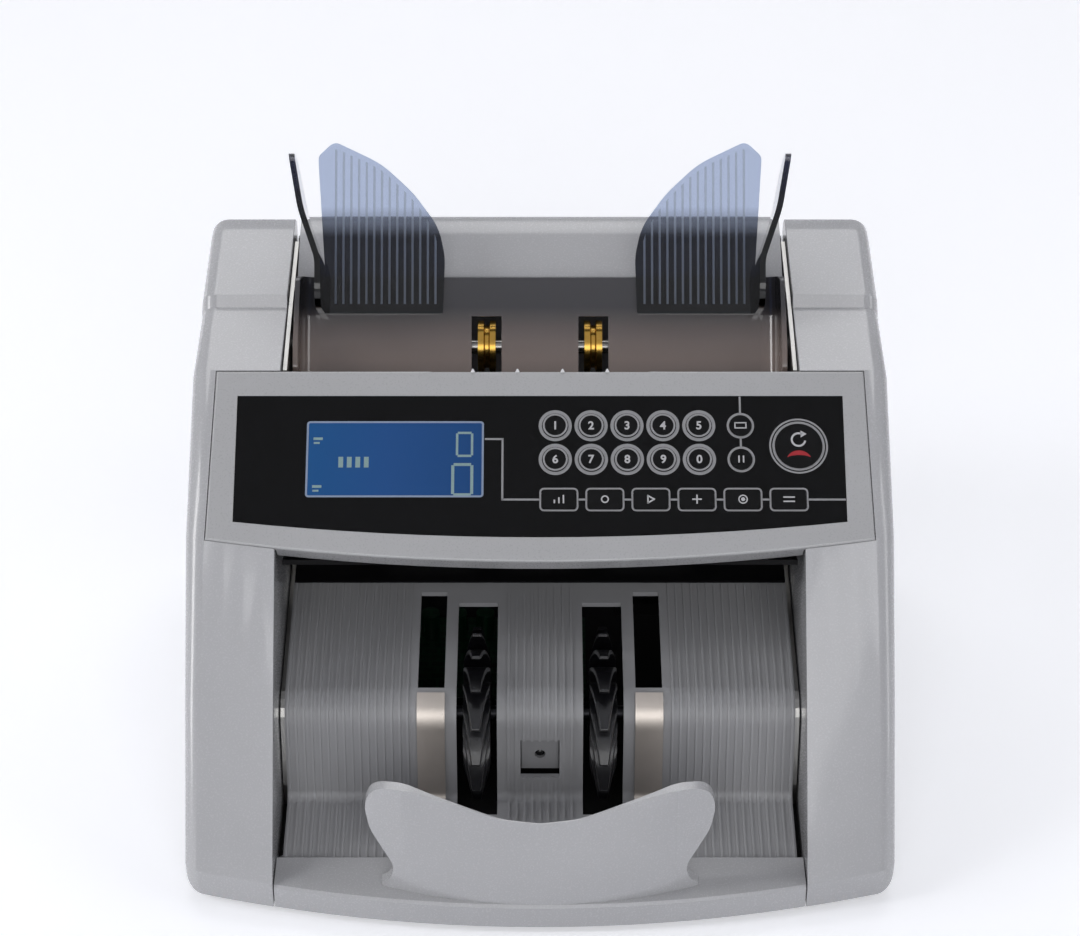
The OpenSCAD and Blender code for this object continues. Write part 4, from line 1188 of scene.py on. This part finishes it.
class COUNTER_OT_back(Operator):
    """Inlet, power switch and screws in the rear panel"""

    bl_idname = "counter.back"
    bl_label = "Back"

    def execute(self, context):
        socket = moulded_plastic("semi-gloss nylon, socket black", hex_linear("#131315"), 0.35)
        plated = brushed_metal("nickel plated brass", colours().steel, 0.2, 0.3, "Y")
        lo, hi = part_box("ac_inlet")
        middle = (lo + hi) / 2 / MM
        inlet = ease_node("ac_inlet", 0, socket)
        pins = ((-6, 0), (6, 0), (0, 2.6))
        socket_floor = lo.y / MM + 6.1

        def on_pin(place):
            x, z = place.x - middle.x, place.z - middle.z
            near = any(abs(x - px) < 1.1 and abs(z - pz) < 2.1 for px, pz in pins)
            return near and place.y > socket_floor

        second_finish(inlet, plated, on_pin)
        paint_node("power_switch", socket)
        self.switch_details(socket)
        self.screw_heads()
        return {"FINISHED"}

    def switch_details(self, socket):
        """The black frame round the rocker, and the bar and ring printed on its two halves."""
        lo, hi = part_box("power_switch")
        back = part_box("rear_panel")[1].y / MM
        middle = (lo + hi) / 2 / MM
        outline = flat_block(23.6 * MM, 18 * MM, 1.2 * MM)
        rim = raise_face(hollow_face(outline, 2.0 * MM), 0.9 * MM)
        stand(rim, (middle.x, back, middle.z), (0, 1, 0), (0, 0, 1))
        settle(smooth(rim), "switch_frame", "machine", socket)
        axis = Vector((middle.x, back - 3.9, middle.z))
        upper_face, lower_face = (0, 0.9205, -0.3888), (0, 0.9956, 0.0853)
        white = printed_ink("printed ink, white, rocker", colours().digit_white)
        bar = raise_face(flat_block(0.5 * MM, 2.8 * MM), sizes().ink)
        stand(bar, axis + Vector((0, 3.84, 1.872)), upper_face, (0, 0, 1))
        ring = raise_face(hollow_face(flat_disc(1.35 * MM, 40), 0.42 * MM), sizes().ink)
        stand(ring, axis + Vector((0, 3.074, -2.967)), lower_face, (0, 0, 1))
        settle(join([bar, ring]), "rocker_marks", BODY_OF["power_switch"], white)

    def screw_heads(self):
        """Pan head screws with a cross recess, one modelled and the others copied from it."""
        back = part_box("rear_panel")[1].y / MM
        lo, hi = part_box("cover_screws")
        zinc = brushed_metal("zinc plated screw", colours().steel, 0.25, 0.2, "Y")
        height = 1.5 * MM
        head = raise_face(flat_disc(2.9 * MM, 36), height)
        round_edges(head, 0.8 * MM, 4, lambda p: p.z > 1)
        cutters = []
        for slot_x, slot_y in ((0.75, 3.4), (3.4, 0.75)):
            bpy.ops.mesh.primitive_cube_add(size=1, location=(0, 0, height))
            cutter = bpy.context.active_object
            cutter.scale = (slot_x * MM, slot_y * MM, 1.8 * MM)
            cutters.append(bake_place(cutter))
        for cutter in cutters:
            modify(head, "BOOLEAN", operation="DIFFERENCE", object=cutter, solver="EXACT")
            bpy.data.objects.remove(cutter)
        heads = []
        inset = 1.5
        for x in (lo.x / MM + inset, hi.x / MM - inset):
            for z in (lo.z / MM + inset, hi.z / MM - inset):
                copy = bpy.data.objects.new("screw_head", head.data.copy())
                bpy.context.scene.collection.objects.link(copy)
                up = (sin(x + z), 0, cos(x + z))
                heads.append(stand(copy, (x, back, z), (0, 1, 0), up))
        bpy.data.objects.remove(head)
        settle(smooth(join(heads), 30), "screw_heads", "machine", zinc)
        paint_node("cover_screws", zinc)


class COUNTER_PT_panel(Panel):
    """Sizes, colours and steps of the banknote counter"""

    bl_idname = "COUNTER_PT_panel"
    bl_label = "Banknote counter"
    bl_space_type = "VIEW_3D"
    bl_region_type = "UI"
    bl_category = "Counter"

    def draw(self, context):
        settings = context.scene.counter
        for group in (settings.sizes, settings.colours):
            column = self.layout.column(align=True)
            for name in group.__annotations__:
                column.prop(group, name)
        for step in STEPS:
            self.layout.operator(step.bl_idname)


STEPS = (
    COUNTER_OT_stage,
    COUNTER_OT_covers,
    COUNTER_OT_control_panel,
    COUNTER_OT_panel_print,
    COUNTER_OT_display,
    COUNTER_OT_hopper,
    COUNTER_OT_note_path,
    COUNTER_OT_drive,
    COUNTER_OT_back,
)
CLASSES = (CounterColours, CounterSizes, CounterSettings, *STEPS, COUNTER_PT_panel)


def register():
    for cls in CLASSES:
        bpy.utils.register_class(cls)
    bpy.types.Scene.counter = PointerProperty(type=CounterSettings)


def unregister():
    del bpy.types.Scene.counter
    for cls in reversed(CLASSES):
        bpy.utils.unregister_class(cls)


def main():
    register()
    for step in STEPS:
        group, name = step.bl_idname.split(".")
        getattr(getattr(bpy.ops, group), name)()
    pick()


if __name__ == "__main__":
    main()
